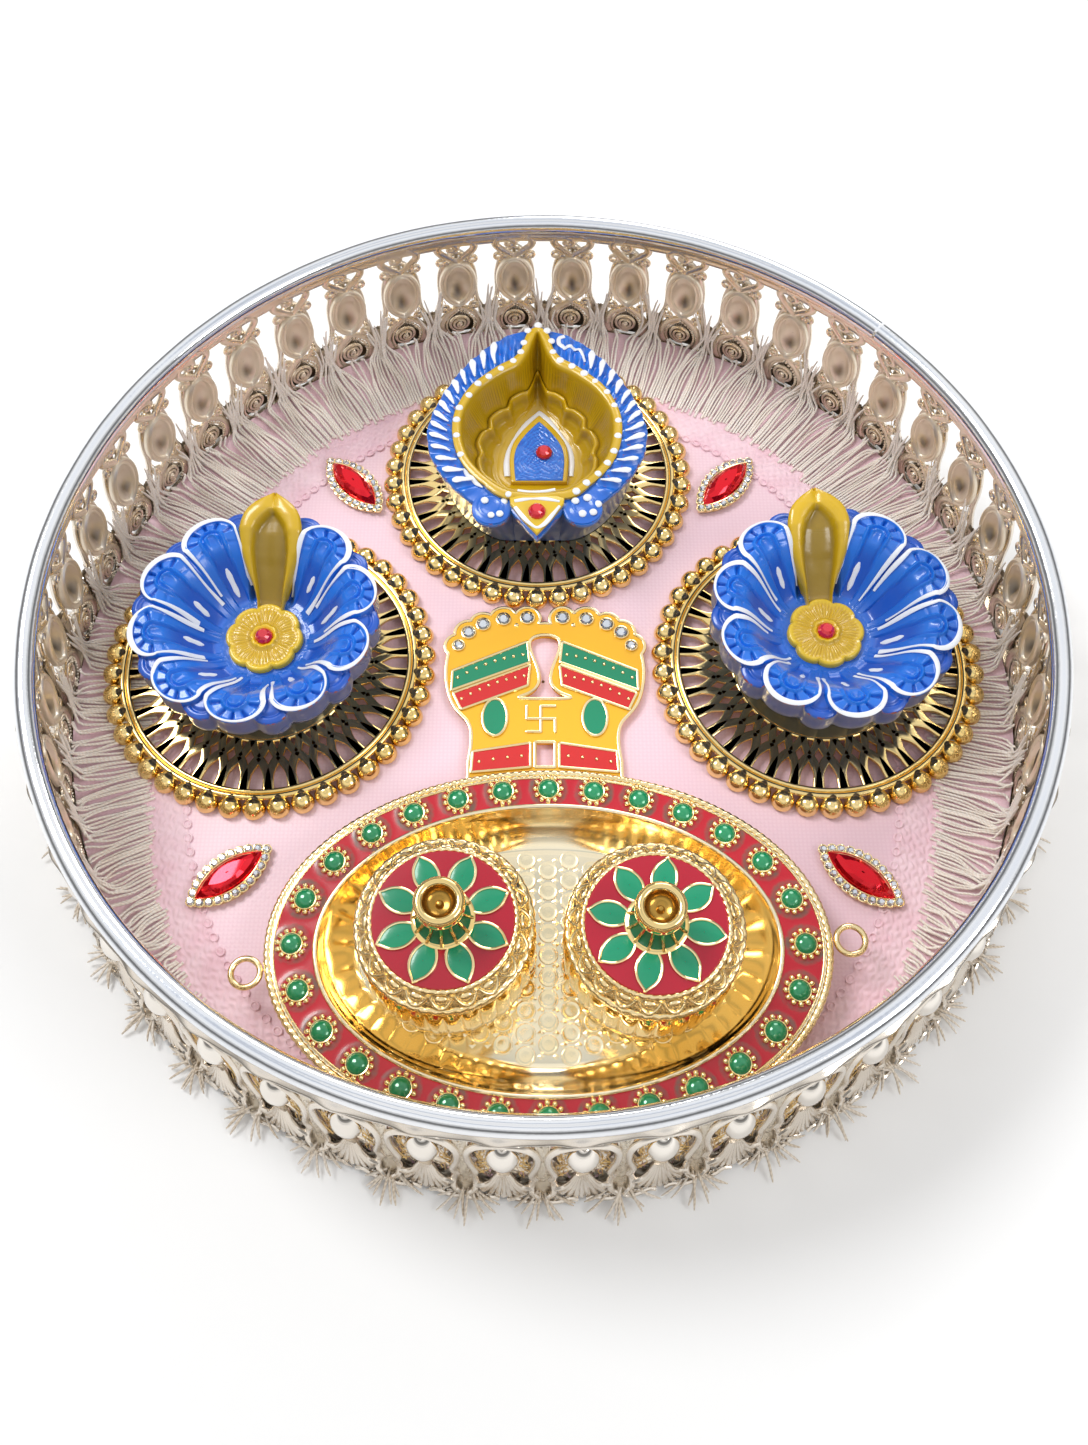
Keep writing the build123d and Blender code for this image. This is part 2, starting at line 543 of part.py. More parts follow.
def make_stand():
    """Gold stand: bead rim, flat ring, arched lattice, plain disc and a foot ring."""
    bead_r = STAND_R - STAND_BEAD_R
    band_r = bead_r - STAND_BEAD_R + STAND_BAND_LAP
    lattice_r = band_r - STAND_BAND_W
    arch_l = lattice_r - STAND_DISC_R - STAND_WEB_W
    arch_w = 2 * pi * (lattice_r - arch_l / 2) / STAND_ARCHES - STAND_BAR_W
    straight = arch_l - arch_w / 2
    window = Rectangle(straight, arch_w, align=(Align.MAX, Align.CENTER))
    window = window + Pos(-straight, 0) * Ellipse(arch_w / 2 + STAND_ARCH_TIP, arch_w / 2)
    window = Pos(lattice_r, 0) * window
    kite_r = STAND_DISC_R + KITE_AT
    kite_half = pi * kite_r / STAND_ARCHES - KITE_BAR_W / 2
    kite = Polyline((-KITE_IN, 0), (0, -kite_half), (KITE_OUT, 0), (0, kite_half), close=True)
    kite = Pos(kite_r, 0) * make_face(kite.edges())
    plate = Circle(bead_r) - around(window, STAND_ARCHES) - around(kite, STAND_ARCHES, 180 / STAND_ARCHES)
    stand = extrude(plate, STAND_T) + raised_line(band_r) + raised_line(lattice_r + STAND_LINE_W)
    foot = Circle(STAND_FOOT_R) - Circle(STAND_FOOT_R - STAND_FOOT_W)
    stand = stand + Pos(0, 0, -STAND_LIFT) * extrude(foot, STAND_LIFT)
    bead = Sphere(STAND_BEAD_R) & Box(2 * STAND_BEAD_R, 2 * STAND_BEAD_R, STAND_BEAD_H)
    return stand + around(Pos(bead_r, 0, STAND_T - STAND_BEAD_DIP) * bead, STAND_BEADS)


# ---- lamps ----
def spout_face():
    """Outline of the wick leaf, with its tip at +Y and its root on the X axis."""
    half = SPOUT_W / 2
    right = ThreePointArc((half * 0.7, 0), (half, SPOUT_L * 0.42), (0, SPOUT_L))
    left = ThreePointArc((0, SPOUT_L), (-half, SPOUT_L * 0.42), (-half * 0.7, 0))
    root = Line((-half * 0.7, 0), (half * 0.7, 0))
    return make_face(Curve() + [right, left, root])


def make_flower_lamp():
    """Clay lamp with a lobed rim, a round bowl, a small blossom and a leaf for the wick."""
    rim = Pos(0, 0, FLOWER_H) * lobed_face(FLOWER_R, FLOWER_NOTCH_R, FLOWER_LOBES)
    base = lobed_face(FLOWER_R * FLOWER_BASE_SCALE, FLOWER_NOTCH_R * FLOWER_BASE_SCALE, FLOWER_LOBES)
    body = loft([base, rim], ruled=True)
    top_z = FLOWER_H + SPOUT_UP
    root_y = FLOWER_R + SPOUT_OUT - SPOUT_L
    low_leaf = Pos(0, root_y, FLOWER_WELL_Z) * scale(spout_face(), by=SPOUT_SCALE)
    high_leaf = Pos(0, root_y, top_z) * spout_face()
    bowl = turned([
        (0, FLOWER_WELL_Z), (FLOWER_WELL_R, FLOWER_WELL_Z), (FLOWER_BOWL_R, FLOWER_H),
        (FLOWER_BOWL_R + BOWL_LIP, FLOWER_H + 2 * SPOUT_UP), (0, FLOWER_H + 2 * SPOUT_UP)])
    groove = Pos(0, root_y + SPOUT_L / 2, top_z + SPOUT_UP) * Rot(SPOUT_GROOVE_TILT, 0, 0)
    groove = groove * scale(Sphere(1), by=SPOUT_GROOVE)
    lamp = body + loft([low_leaf, high_leaf], ruled=True) - bowl - groove
    blossom = extrude(lobed_face(BLOSSOM_R, BLOSSOM_NOTCH_R, BLOSSOM_LOBES), BLOSSOM_H)
    return lamp + Pos(0, 0, FLOWER_WELL_Z) * blossom


def leaf_outline(grow, front_grow):
    """Outline of the leaf lamp, moved in by a negative amount."""
    w = LEAF_HALF_W + grow
    tip = LEAF_TIP_Y + grow * 1.3
    front = LEAF_FRONT_Y + front_grow
    right = Spline([(0, tip), (0.46 * w, 0.80 * tip), (0.90 * w, 0.26 * tip), (w, -0.02 * tip),
                    (0.86 * w, -0.62 * front), (0.45 * w, -front)], tangents=[(0.86, -0.5), (-0.9, -0.4)])
    bottom = Line((0.45 * w, -front), (-0.45 * w, -front))
    left = mirror(right, Plane.YZ)
    return make_face(Curve() + [right, bottom, left])


def front_point(tip_y, root_y):
    """Flat triangle that points to the front."""
    half = LEAF_POINT_HALF_W
    return make_face(Polyline((-half, root_y), (0, tip_y), (half, root_y), close=True).edges())


def make_leaf_lamp():
    """Clay lamp with a pointed back, a thick rim, a raised arch and a lobed front."""
    rim = Pos(0, 0, LEAF_H) * leaf_outline(0, 0)
    lamp = loft([scale(leaf_outline(0, 0), by=LEAF_BASE_SCALE), rim])
    floor_inset = -LEAF_RIM_W - LEAF_FLOOR_INSET
    floor = Pos(0, 0, LEAF_FLOOR_Z) * leaf_outline(floor_inset, floor_inset)
    mouth = Pos(0, 0, LEAF_H) * leaf_outline(-LEAF_RIM_W, -LEAF_RIM_W)
    lamp = lamp - loft([floor, mouth])
    lobe_y = LEAF_LOBE_BACK - LEAF_FRONT_Y
    for side in (-1, 1):
        top = Pos(side * LEAF_LOBE_X, lobe_y, LEAF_H) * Circle(LEAF_LOBE_R)
        foot = Circle(LEAF_LOBE_R * LEAF_LOBE_TAPER)
        foot = Pos(side * LEAF_LOBE_X, lobe_y + LEAF_LOBE_LEAN, 0) * foot
        lamp = lamp + loft([foot, top], ruled=True)
    root_y = LEAF_POINT_ROOT - LEAF_FRONT_Y
    foot = front_point(LEAF_POINT_LEAN - LEAF_POINT_Y, root_y + LEAF_POINT_ROOT)
    lamp = lamp + loft([foot, Pos(0, 0, LEAF_H) * front_point(-LEAF_POINT_Y, root_y)], ruled=True)
    half_w, half_l = MEHRAB_W / 2, MEHRAB_L / 2
    waist = (0.8 * half_w, 0.12 * half_l)
    arch = make_face(Curve() + [
        ThreePointArc((0, half_l), waist, (half_w, -half_l)),
        Line((half_w, -half_l), (-half_w, -half_l)),
        ThreePointArc((-half_w, -half_l), (-waist[0], waist[1]), (0, half_l))])
    return lamp + Pos(0, MEHRAB_AT_Y, LEAF_FLOOR_Z) * extrude(arch, MEHRAB_H)


def make_gem():
    """Small red stone with a flat back and a bevelled top."""
    table_r, girdle_z = GEM_R * GEM_TABLE, GEM_H * GEM_GIRDLE
    return turned([(0, 0), (GEM_R, 0), (GEM_R, girdle_z), (table_r, GEM_H), (0, GEM_H)])


# ---- jewels ----
def make_setting():
    return extrude(marquise_face(JEWEL_L, JEWEL_W), JEWEL_T)


def make_crystal():
    """Pointed oval crystal with a bevelled crown and a flat table."""
    girdle = marquise_face(CRYSTAL_L, CRYSTAL_W)
    table = marquise_face(CRYSTAL_L * CRYSTAL_TABLE_L, CRYSTAL_W * CRYSTAL_TABLE_W)
    crown = loft([Pos(0, 0, CRYSTAL_GIRDLE_H) * girdle, Pos(0, 0, CRYSTAL_H) * table], ruled=True)
    return Pos(0, 0, JEWEL_T) * (extrude(girdle, CRYSTAL_GIRDLE_H) + crown)


def make_small_stone():
    """Small clear stone with a flat back and a bevelled top."""
    r, table_r = RHINESTONE_R, RHINESTONE_R * RHINESTONE_TABLE
    return turned([(0, 0), (r, 0), (r, RHINESTONE_GIRDLE), (table_r, RHINESTONE_H), (0, RHINESTONE_H)])


def rhinestone_places():
    """Places of the clear stones along both arcs of a jewel."""
    length = JEWEL_L - 2 * RHINESTONE_R
    width = JEWEL_W - 2 * RHINESTONE_R
    bend = (length ** 2 + width ** 2) / (4 * width)
    reach = asin(length / 2 / bend)
    places = []
    for i in range(RHINESTONES_PER_SIDE):
        a = -reach + 2 * reach * (i + 0.5) / RHINESTONES_PER_SIDE
        x = bend * sin(a)
        y = bend * cos(a) - (bend - width / 2)
        places.append((x, y))
        places.append((x, -y))
    return places


def make_jewel_stones():
    stone = make_small_stone()
    return [Pos(x, y, JEWEL_T) * stone for x, y in rhinestone_places()]


def at_jewels(shapes):
    """Copies of some shapes at the four jewel places, on top of the lace."""
    copies = []
    for x, y, turn in JEWEL_PLACES:
        copies += [Pos(x, y, LACE_TOP_Z) * Rot(0, 0, turn) * shape for shape in shapes]
    return Compound(children=copies)


# ---- footprint plaque ----
def plaque_face():
    """Pair of feet side by side, toes to the back, joined at the toes and the heels."""
    little_toe, heel_side = FOOT_SIDE[0], FOOT_SIDE[-1]
    toe_root = (0, FOOT_SLOT[0][1] + FOOT_SLOT[1][0])
    heel = Polyline(heel_side, (heel_side[0], PLAQUE_HEEL_Y), (0, PLAQUE_HEEL_Y), toe_root, little_toe)
    half = make_face(Curve() + [Spline(FOOT_SIDE), heel])
    for x, y, r in TOES:
        half = half + Pos(x, y) * Circle(r)
    slot_line = Spline(FOOT_SLOT, tangents=[(1, 0), (-1, 0)])
    slot = make_face(slot_line.edges() + Line(FOOT_SLOT[-1], FOOT_SLOT[0]).edges())
    window = Pos(0, HEEL_WINDOW_Y) * Rectangle(*HEEL_WINDOW)
    half = half & Rectangle(-PLAQUE_HEEL_Y, -4 * PLAQUE_HEEL_Y, align=(Align.MIN, Align.CENTER))
    return half + mirror(half, Plane.YZ) - slot - mirror(slot, Plane.YZ) - window


def both_sides(points):
    """A closed polygon on one foot and its twin on the other."""
    face = make_face(Polyline(*points, close=True).edges())
    return face + mirror(face, Plane.YZ)


def green_field_face():
    drop = Pos(*DROP_AT) * Ellipse(*DROP_SIZE)
    return both_sides(GREEN_BAND) + drop + mirror(drop, Plane.YZ)


def red_field_face():
    return both_sides(RED_BAND) + both_sides(HEEL_BAND)


def on_plaque(sketch, lift, height):
    return Pos(PLAQUE_X, 0, FLOOR_Z + lift) * extrude(sketch, height)


# ---- oval tray ----
def make_tray():
    """Gold dish with a wide flange; the dish is lofted between ellipses."""
    in_a, in_b = TRAY_A - TRAY_RIM_W, TRAY_B - TRAY_RIM_W_SIDE
    foot_a, foot_b = in_a - TRAY_WALL_RUN, in_b - TRAY_WALL_RUN
    flange = extrude(Ellipse(TRAY_A - TRAY_ROPE_R, TRAY_B - TRAY_ROPE_R), TRAY_FLANGE_T)
    flange = Pos(0, 0, TRAY_TOP_Z - TRAY_FLANGE_T) * flange
    shell = loft([
        Pos(0, 0, FLOOR_Z) * Ellipse(foot_a + TRAY_WALL_T, foot_b + TRAY_WALL_T),
        Pos(0, 0, TRAY_TOP_Z) * Ellipse(in_a + TRAY_WALL_T, in_b + TRAY_WALL_T)])
    space = loft([
        Pos(0, 0, TRAY_FLOOR_Z) * Ellipse(foot_a, foot_b),
        Pos(0, 0, TRAY_TOP_Z) * Ellipse(in_a, in_b)])
    return flange + shell - space


def make_tray_enamel():
    """Red ring on the flange, between the rope edge and the dish."""
    inset = 2 * TRAY_ROPE_R + ENAMEL_GAP
    outer = Ellipse(TRAY_A - inset, TRAY_B - inset)
    inner = Ellipse(TRAY_A - TRAY_RIM_W + ENAMEL_LIP, TRAY_B - TRAY_RIM_W_SIDE + ENAMEL_LIP)
    return Pos(0, 0, TRAY_TOP_Z) * extrude(outer - inner, ENAMEL_T)


def make_tray_rope():
    """Half-round bar along the flange's outer edge."""
    edge_a, edge_b = TRAY_A - TRAY_ROPE_R, TRAY_B - TRAY_ROPE_R
    ring = ellipse_ring(edge_a, edge_b, TRAY_ROPE_R, TRAY_TOP_Z - TRAY_FLANGE_T / 2)
    return ring - extrude(Ellipse(edge_a, edge_b), RIM_Z)


def stone_places():
    """Even steps along the middle line of the red ring, the first at the back."""
    inset = (2 * TRAY_ROPE_R + ENAMEL_GAP) / 2
    a = TRAY_A - inset - (TRAY_RIM_W - ENAMEL_LIP) / 2
    b = TRAY_B - inset - (TRAY_RIM_W_SIDE - ENAMEL_LIP) / 2
    line = Ellipse(a, b).edge()
    return [line @ ((i / TRAY_STONES + 0.25) % 1.0) for i in range(TRAY_STONES)]


def make_tray_stones():
    """Green stones with a low straight edge and a dome."""
    dome_r = (TRAY_STONE_R ** 2 + TRAY_STONE_DOME ** 2) / (2 * TRAY_STONE_DOME)
    height = TRAY_STONE_GIRDLE + TRAY_STONE_DOME
    stone = Cylinder(TRAY_STONE_R, height, align=LOW) & Pos(0, 0, height - dome_r) * Sphere(dome_r)
    z = TRAY_TOP_Z + ENAMEL_T
    return Compound(children=[Pos(p.X, p.Y, z) * stone for p in stone_places()])


def make_tray_collars():
    """A bead ring round each green stone."""
    ring = Torus(TRAY_STONE_R + COLLAR_R + COLLAR_GAP, COLLAR_R)
    z = TRAY_TOP_Z + ENAMEL_T + COLLAR_R
    return Compound(children=[Pos(p.X, p.Y, z) * ring for p in stone_places()])


def make_ear(angle):
    """Ring at the end of the tray, beside its edge at an angle."""
    reach = EAR_R + EAR_WIRE_R + EAR_GAP
    x = (TRAY_A + reach) * cos(radians(angle))
    y = (TRAY_B + reach) * sin(radians(angle))
    return Pos(x, y, TRAY_TOP_Z - TRAY_FLANGE_T / 2) * Torus(EAR_R, EAR_WIRE_R)


# ---- lidded pots ----
def make_pot():
    """Fluted pot with a plain floor and a plain mouth."""
    neck_r, face_r = POT_R - POT_NECK_IN, POT_R - POT_FACE_IN
    neck_z = POT_H - POT_NECK_H
    body = turned([
        (0, 0), (neck_r, 0), (face_r, POT_BEVEL_H), (face_r, neck_z - POT_SHOULDER_H),
        (neck_r, neck_z), (neck_r, POT_H), (0, POT_H)])
    flute = Cylinder(POT_RIB_R, POT_H - POT_RIB_CUT, align=LOW)
    body = body + around(Pos(POT_R - POT_RIB_R, 0, POT_RIB_LOW) * flute, POT_RIBS)
    return body - Pos(0, 0, POT_FLOOR) * Cylinder(POT_MOUTH_R, POT_H, align=LOW)


def make_lid():
    """Domed lid with rope rings and a skirt that drops into the pot."""
    plug_r = POT_MOUTH_R - LID_PLUG_GAP
    bore_r = plug_r - LID_TOP_T
    edge_r = LID_R - LID_EDGE_H / 4
    top_z = LID_EDGE_H + LID_DOME_H
    lid = turned([
        (0, top_z), (ENAMEL_R + LID_ROPE_R, top_z), ((LID_R + ENAMEL_R) / 2, LID_EDGE_H + LID_STEP_Z),
        (edge_r, LID_EDGE_H), (LID_R, LID_EDGE_H / 2), (edge_r, 0), (plug_r, 0),
        (plug_r, -LID_PLUG_H), (bore_r, -LID_PLUG_H), (bore_r, LID_EDGE_H),
        (ENAMEL_R - LID_TOP_T, top_z - LID_TOP_T), (0, top_z - LID_TOP_T)])
    return lid + Pos(0, 0, top_z) * Torus(ENAMEL_R, LID_ROPE_R)


def make_lid_enamel():
    """Coloured disc inside the rope ring, open round the knob's foot."""
    return extrude(Circle(ENAMEL_R - LID_ROPE_R) - Circle(KNOB_FOOT_R + LID_CLEAR), ENAMEL_T)


def make_petals():
    """Eight green petals round the knob, each a pointed oval."""
    petal = Pos(KNOB_FOOT_R + PETAL_AT, 0) * marquise_face(PETAL_L, PETAL_W)
    petal = extrude(petal - Circle(KNOB_FOOT_R + LID_CLEAR), ENAMEL_T)
    return Compound(children=around(Pos(0, 0, ENAMEL_T) * petal, PETALS, 180 / PETALS))


def make_knob():
    """Cup-shaped knob on a flared neck."""
    neck_z = KNOB_H * KNOB_NECK_AT
    lip_r = KNOB_TOP_R - KNOB_LIP_W
    return turned([
        (0, 0), (KNOB_FOOT_R, 0), (KNOB_FOOT_R, KNOB_FOOT_H), (KNOB_NECK_R, neck_z),
        (lip_r, neck_z + KNOB_CUP_H / 2), (KNOB_TOP_R, KNOB_H - KNOB_LIP_W),
        (lip_r, KNOB_H), (KNOB_NECK_R / 2, KNOB_H - KNOB_HOLLOW), (0, KNOB_H - KNOB_HOLLOW)])


def main():
    os.makedirs("parts", exist_ok=True)
    nodes = {
        "base_board": make_board(),
        "satin_cover": make_satin(),
        "lace_band": make_lace(),
        "fringe_skirt": make_fringe(),
        "fringe_tufts": make_tufts(),
        "gallery_wall": make_wall(),
        "rim_tube": make_rim(),
    }
    stand = make_stand()
    for side, (x, y) in STAND_PLACES.items():
        nodes["stand_" + side] = Pos(x, y, FLOOR_Z + STAND_LIFT) * stand

    lamp = make_flower_lamp()
    gem = make_gem()
    for side, (right, back, turn) in FLOWER_OFFSETS.items():
        x, y = STAND_PLACES[side]
        spot = Pos(x + right, y + back, STAND_TOP_Z) * Rot(0, 0, turn)
        nodes["diya_" + side] = spot * lamp
        nodes["diya_" + side + "_stone"] = spot * Pos(0, 0, FLOWER_WELL_Z + BLOSSOM_H) * gem
    spot = Pos(*STAND_PLACES["back"], STAND_TOP_Z)
    nodes["diya_back"] = spot * make_leaf_lamp()
    bowl_gem = spot * Pos(*BOWL_GEM_AT, LEAF_FLOOR_Z + MEHRAB_H) * gem
    lip_gem = spot * Pos(0, -LEAF_FRONT_Y - LIP_GEM_OUT, LEAF_H) * gem
    nodes["diya_back_stones"] = Compound(children=[bowl_gem, lip_gem])

    nodes["jewel_settings"] = at_jewels([make_setting()])
    nodes["marquise_crystals"] = at_jewels([make_crystal()])
    nodes["jewel_rhinestones"] = at_jewels(make_jewel_stones())

    nodes["footprint_plaque"] = on_plaque(plaque_face(), 0, PLAQUE_T)
    nodes["plaque_green_enamel"] = on_plaque(green_field_face(), PLAQUE_T, ENAMEL_T)
    nodes["plaque_red_enamel"] = on_plaque(red_field_face(), PLAQUE_T, ENAMEL_T)
    toe_stone = make_small_stone()
    toe_stones = []
    for x, y, _ in TOES:
        for side in (-1, 1):
            toe_stones.append(Pos(PLAQUE_X + side * x, y, FLOOR_Z + PLAQUE_T) * toe_stone)
    nodes["toe_rhinestones"] = Compound(children=toe_stones)

    at_tray = Pos(*TRAY_PLACE, 0)
    nodes["oval_tray"] = at_tray * make_tray()
    nodes["tray_red_enamel"] = at_tray * make_tray_enamel()
    nodes["tray_rope_edge"] = at_tray * make_tray_rope()
    nodes["tray_stones"] = at_tray * make_tray_stones()
    nodes["tray_bead_collars"] = at_tray * make_tray_collars()
    for side, angle in EAR_ANGLES.items():
        nodes["tray_ear_" + side] = at_tray * make_ear(angle)

    pot, lid, knob = make_pot(), make_lid(), make_knob()
    lid_enamel, petals = make_lid_enamel(), make_petals()
    for side, (right, back) in POT_OFFSETS.items():
        x, y = TRAY_PLACE[0] + right, TRAY_PLACE[1] + back
        nodes["pot_" + side] = Pos(x, y, POT_Z) * pot
        nodes["lid_" + side] = Pos(x, y, LID_Z) * lid
        nodes["lid_" + side + "_enamel"] = Pos(x, y, ENAMEL_Z) * lid_enamel
        nodes["lid_" + side + "_petals"] = Pos(x, y, ENAMEL_Z) * petals
        nodes["knob_" + side] = Pos(x, y, ENAMEL_Z) * knob

    for name, shape in nodes.items():
        export_step(shape, "parts/" + name + ".step")
        print(name, len(shape.solids()), "solids")


main()
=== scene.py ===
# %% [markdown]
# A puja thali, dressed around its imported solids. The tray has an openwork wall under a
# silver tube rim, a floor of pink satin with a fringed lace, three painted clay lamps
# on gold stands, and an oval tray with two lidded pots. The solids give the places and
# sizes; this file makes the surfaces that a camera sees close up.
# %% Load the frame
import math

import bmesh
import bpy
import numpy as np
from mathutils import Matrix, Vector


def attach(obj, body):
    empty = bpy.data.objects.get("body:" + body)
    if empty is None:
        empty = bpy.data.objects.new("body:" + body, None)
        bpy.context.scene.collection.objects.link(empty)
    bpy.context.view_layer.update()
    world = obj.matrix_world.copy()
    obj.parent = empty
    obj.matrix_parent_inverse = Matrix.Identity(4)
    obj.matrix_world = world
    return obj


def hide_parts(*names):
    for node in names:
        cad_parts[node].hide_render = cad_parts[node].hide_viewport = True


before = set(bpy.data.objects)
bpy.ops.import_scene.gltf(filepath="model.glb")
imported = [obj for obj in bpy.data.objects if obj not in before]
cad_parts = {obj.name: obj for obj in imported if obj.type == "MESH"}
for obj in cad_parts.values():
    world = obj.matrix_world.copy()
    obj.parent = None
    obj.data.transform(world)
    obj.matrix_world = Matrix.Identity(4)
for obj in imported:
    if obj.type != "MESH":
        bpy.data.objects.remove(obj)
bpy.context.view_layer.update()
MM = 0.001
TAU = 2 * math.pi

# %% [markdown]
# Nearly every piece here is a swept or a turned surface, so a few helpers on plain
# number arrays make them all. A shape is a pair: its points, in millimetres, and its
# quads. A triangle is a quad whose last two corners are the same. Working on arrays
# is much faster than adding corners one at a time, and it keeps the exact sizes.
# %% Shape helpers
def grid(points, closed_u=False, closed_v=False):
    """A shape from rows of points: points[i, j] is one corner."""
    points = np.asarray(points, float)
    rows, cols = points.shape[:2]
    i = np.arange(rows if closed_u else rows - 1)
    j = np.arange(cols if closed_v else cols - 1)
    i, j = [a.ravel() for a in np.meshgrid(i, j, indexing="ij")]
    i2, j2 = (i + 1) % rows, (j + 1) % cols
    quads = np.stack([i * cols + j, i2 * cols + j, i2 * cols + j2, i * cols + j2], 1)
    return points.reshape(-1, 3), quads


def ringed(rings):
    """A shape from closed rings of points."""
    return grid(rings, closed_v=True)


def join(shapes):
    """Several shapes as one."""
    points, quads, start = [], [], 0
    for p, q in shapes:
        points.append(p)
        quads.append(q + start)
        start += len(p)
    return np.concatenate(points), np.concatenate(quads)


def flipped(shape):
    """A shape with its faces turned over."""
    return shape[0], shape[1][:, ::-1]


def even_turn(count):
    """Angles of even steps round a full turn."""
    return TAU * np.arange(count) / count


def polar(r, angle, z):
    """Points from their distance, angle and height."""
    return np.stack(np.broadcast_arrays(r * np.cos(angle), r * np.sin(angle), z), -1)


def round_path(radius, z, count):
    return polar(radius, even_turn(count), z)


def raised(line, z):
    """A flat line at a height."""
    return np.column_stack([line, np.full(len(line), z)])


def swell(count, at, sizes):
    """Half sizes that change along a bar of count points."""
    return np.interp(np.linspace(0, 1, count), at, sizes)


def ring_rows(rings):
    """Rings given as distances, heights and so on, stacked to one array of each."""
    rings = [np.broadcast_arrays(*map(np.atleast_2d, ring)) for ring in rings]
    return [np.concatenate(column) for column in zip(*rings)]


def turned(profile, steps=64):
    """A shape turned about Z from (radius, height) pairs, from the outside in."""
    r, z = np.asarray(profile, float).T
    return grid(polar(r, even_turn(steps)[:, None], z), closed_u=True)


def moved(shape, x=0, y=0, z=0, turn=0, size=1):
    """A copy of a shape, turned about Z in degrees, then shifted."""
    c, s = math.cos(math.radians(turn)), math.sin(math.radians(turn))
    p = shape[0] * size
    p = np.stack([p[:, 0] * c - p[:, 1] * s + x, p[:, 0] * s + p[:, 1] * c + y, p[:, 2] + z], 1)
    return p, shape[1]


def around(shape, count, start=0):
    """Copies of a shape about Z."""
    return join([moved(shape, turn=start + 360 * i / count) for i in range(count)])


print("surface helpers ready")

# %% Bars, balls and soft lines
def frames(path, closed, up):
    """Side and top of a path at each point."""
    path = np.asarray(path, float)
    if closed:
        ahead, behind = np.roll(path, -1, 0), np.roll(path, 1, 0)
    else:
        ahead = np.concatenate([path[1:], path[-1:]])
        behind = np.concatenate([path[:1], path[:-1]])
    along = ahead - behind
    along /= np.linalg.norm(along, axis=1)[:, None] + 1e-12
    up = np.broadcast_to(np.asarray(up, float), path.shape)
    side = np.cross(along, up)
    side /= np.linalg.norm(side, axis=1)[:, None] + 1e-12
    return side, np.cross(side, along)


def tube(path, wide, high=None, sides=8, closed=False, up=(0, 0, 1), square=1):
    """A bar along a path. wide and high are its half sizes; square under 1 gives flatter faces."""
    path = np.asarray(path, float)
    n = len(path)
    wide = np.broadcast_to(np.asarray(wide, float), (n,))
    high = wide if high is None else np.broadcast_to(np.asarray(high, float), (n,))
    side, top = frames(path, closed, up)
    angle = TAU * (np.arange(sides) + 0.5 * (square < 1)) / sides
    c, s = [np.sign(a) * np.abs(a) ** square for a in (np.cos(angle), np.sin(angle))]
    ring = (path[:, None] + side[:, None] * (c * wide[:, None])[..., None]
            + top[:, None] * (s * high[:, None])[..., None])
    if not closed:
        ring = np.concatenate([np.repeat(path[:1, None], sides, 1), ring,
                               np.repeat(path[-1:, None], sides, 1)])
    return flipped(grid(ring, closed_u=closed, closed_v=True))


def ball(radius, x=0, y=0, z=0, steps=10, rows=6, flat=1, cap=1):
    """A ball, or its top part: cap 0.5 is a half ball."""
    fall = math.pi * cap * np.linspace(1, 0.001, rows)
    profile = np.stack([radius * np.sin(fall), radius * flat * np.cos(fall)], 1)
    return moved(turned(profile, steps), x, y, z)


def smooth_line(points, count, closed=False):
    """A soft curve through points, as count points along it."""
    p = np.asarray(points, float)
    n = len(p)
    if closed:
        p = np.concatenate([p[-1:], p, p[:2]])
        spans = n
    else:
        p = np.concatenate([2 * p[:1] - p[1:2], p, 2 * p[-1:] - p[-2:-1]])
        spans = n - 1
    t = np.linspace(0, spans, count, endpoint=not closed)
    k = np.minimum(t.astype(int), spans - 1)
    f = (t - k)[:, None]
    a, b, c, d = p[k], p[k + 1], p[k + 2], p[k + 3]
    return 0.5 * (2 * b + (c - a) * f + (2 * a - 5 * b + 4 * c - d) * f ** 2
                  + (3 * b - a - 3 * c + d) * f ** 3)


print("bar helpers ready")

# %% From a shape to an object
def piece(name, shape, material, body="thali", slot=None, sharp=40, values=None):
    """Makes the Blender object. values holds extra numbers per point, for the materials."""
    points, quads = shape
    tri = quads[:, 2] == quads[:, 3]
    faces = [quads[~tri], quads[tri][:, :3]]
    mesh = bpy.data.meshes.new(name)
    mesh.vertices.add(len(points))
    mesh.vertices.foreach_set("co", (points * MM).astype(np.float32).ravel())
    corners = np.concatenate([f.ravel() for f in faces]).astype(np.int32)
    mesh.loops.add(len(corners))
    mesh.loops.foreach_set("vertex_index", corners)
    sizes = np.concatenate([np.full(len(faces[0]), 4), np.full(len(faces[1]), 3)])
    mesh.polygons.add(len(sizes))
    starts = np.concatenate([[0], np.cumsum(sizes)[:-1]]).astype(np.int32)
    mesh.polygons.foreach_set("loop_start", starts)
    mesh.polygons.foreach_set("use_smooth", np.ones(len(sizes), bool))
    for key, numbers in (values or {}).items():
        layer = mesh.attributes.new(key, "FLOAT", "POINT")
        layer.data.foreach_set("value", np.asarray(numbers, np.float32))
    mesh.update(calc_edges=True)
    mesh.validate()
    tidy_mesh(mesh)
    mesh.set_sharp_from_angle(angle=math.radians(sharp))
    mesh.materials.append(material)
    obj = bpy.data.objects.new(name, mesh)
    bpy.context.scene.collection.objects.link(obj)
    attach(obj, body)
    print(f"{name}: {len(mesh.vertices)} points, {len(mesh.polygons)} faces")
    return obj


def tidy_mesh(mesh):
    """Joins points that lie on each other and drops faces with no area."""
    bm = bmesh.new()
    bm.from_mesh(mesh)
    bmesh.ops.remove_doubles(bm, verts=bm.verts, dist=1e-7)
    bmesh.ops.dissolve_degenerate(bm, edges=bm.edges, dist=1e-8)
    bm.to_mesh(mesh)
    bm.free()


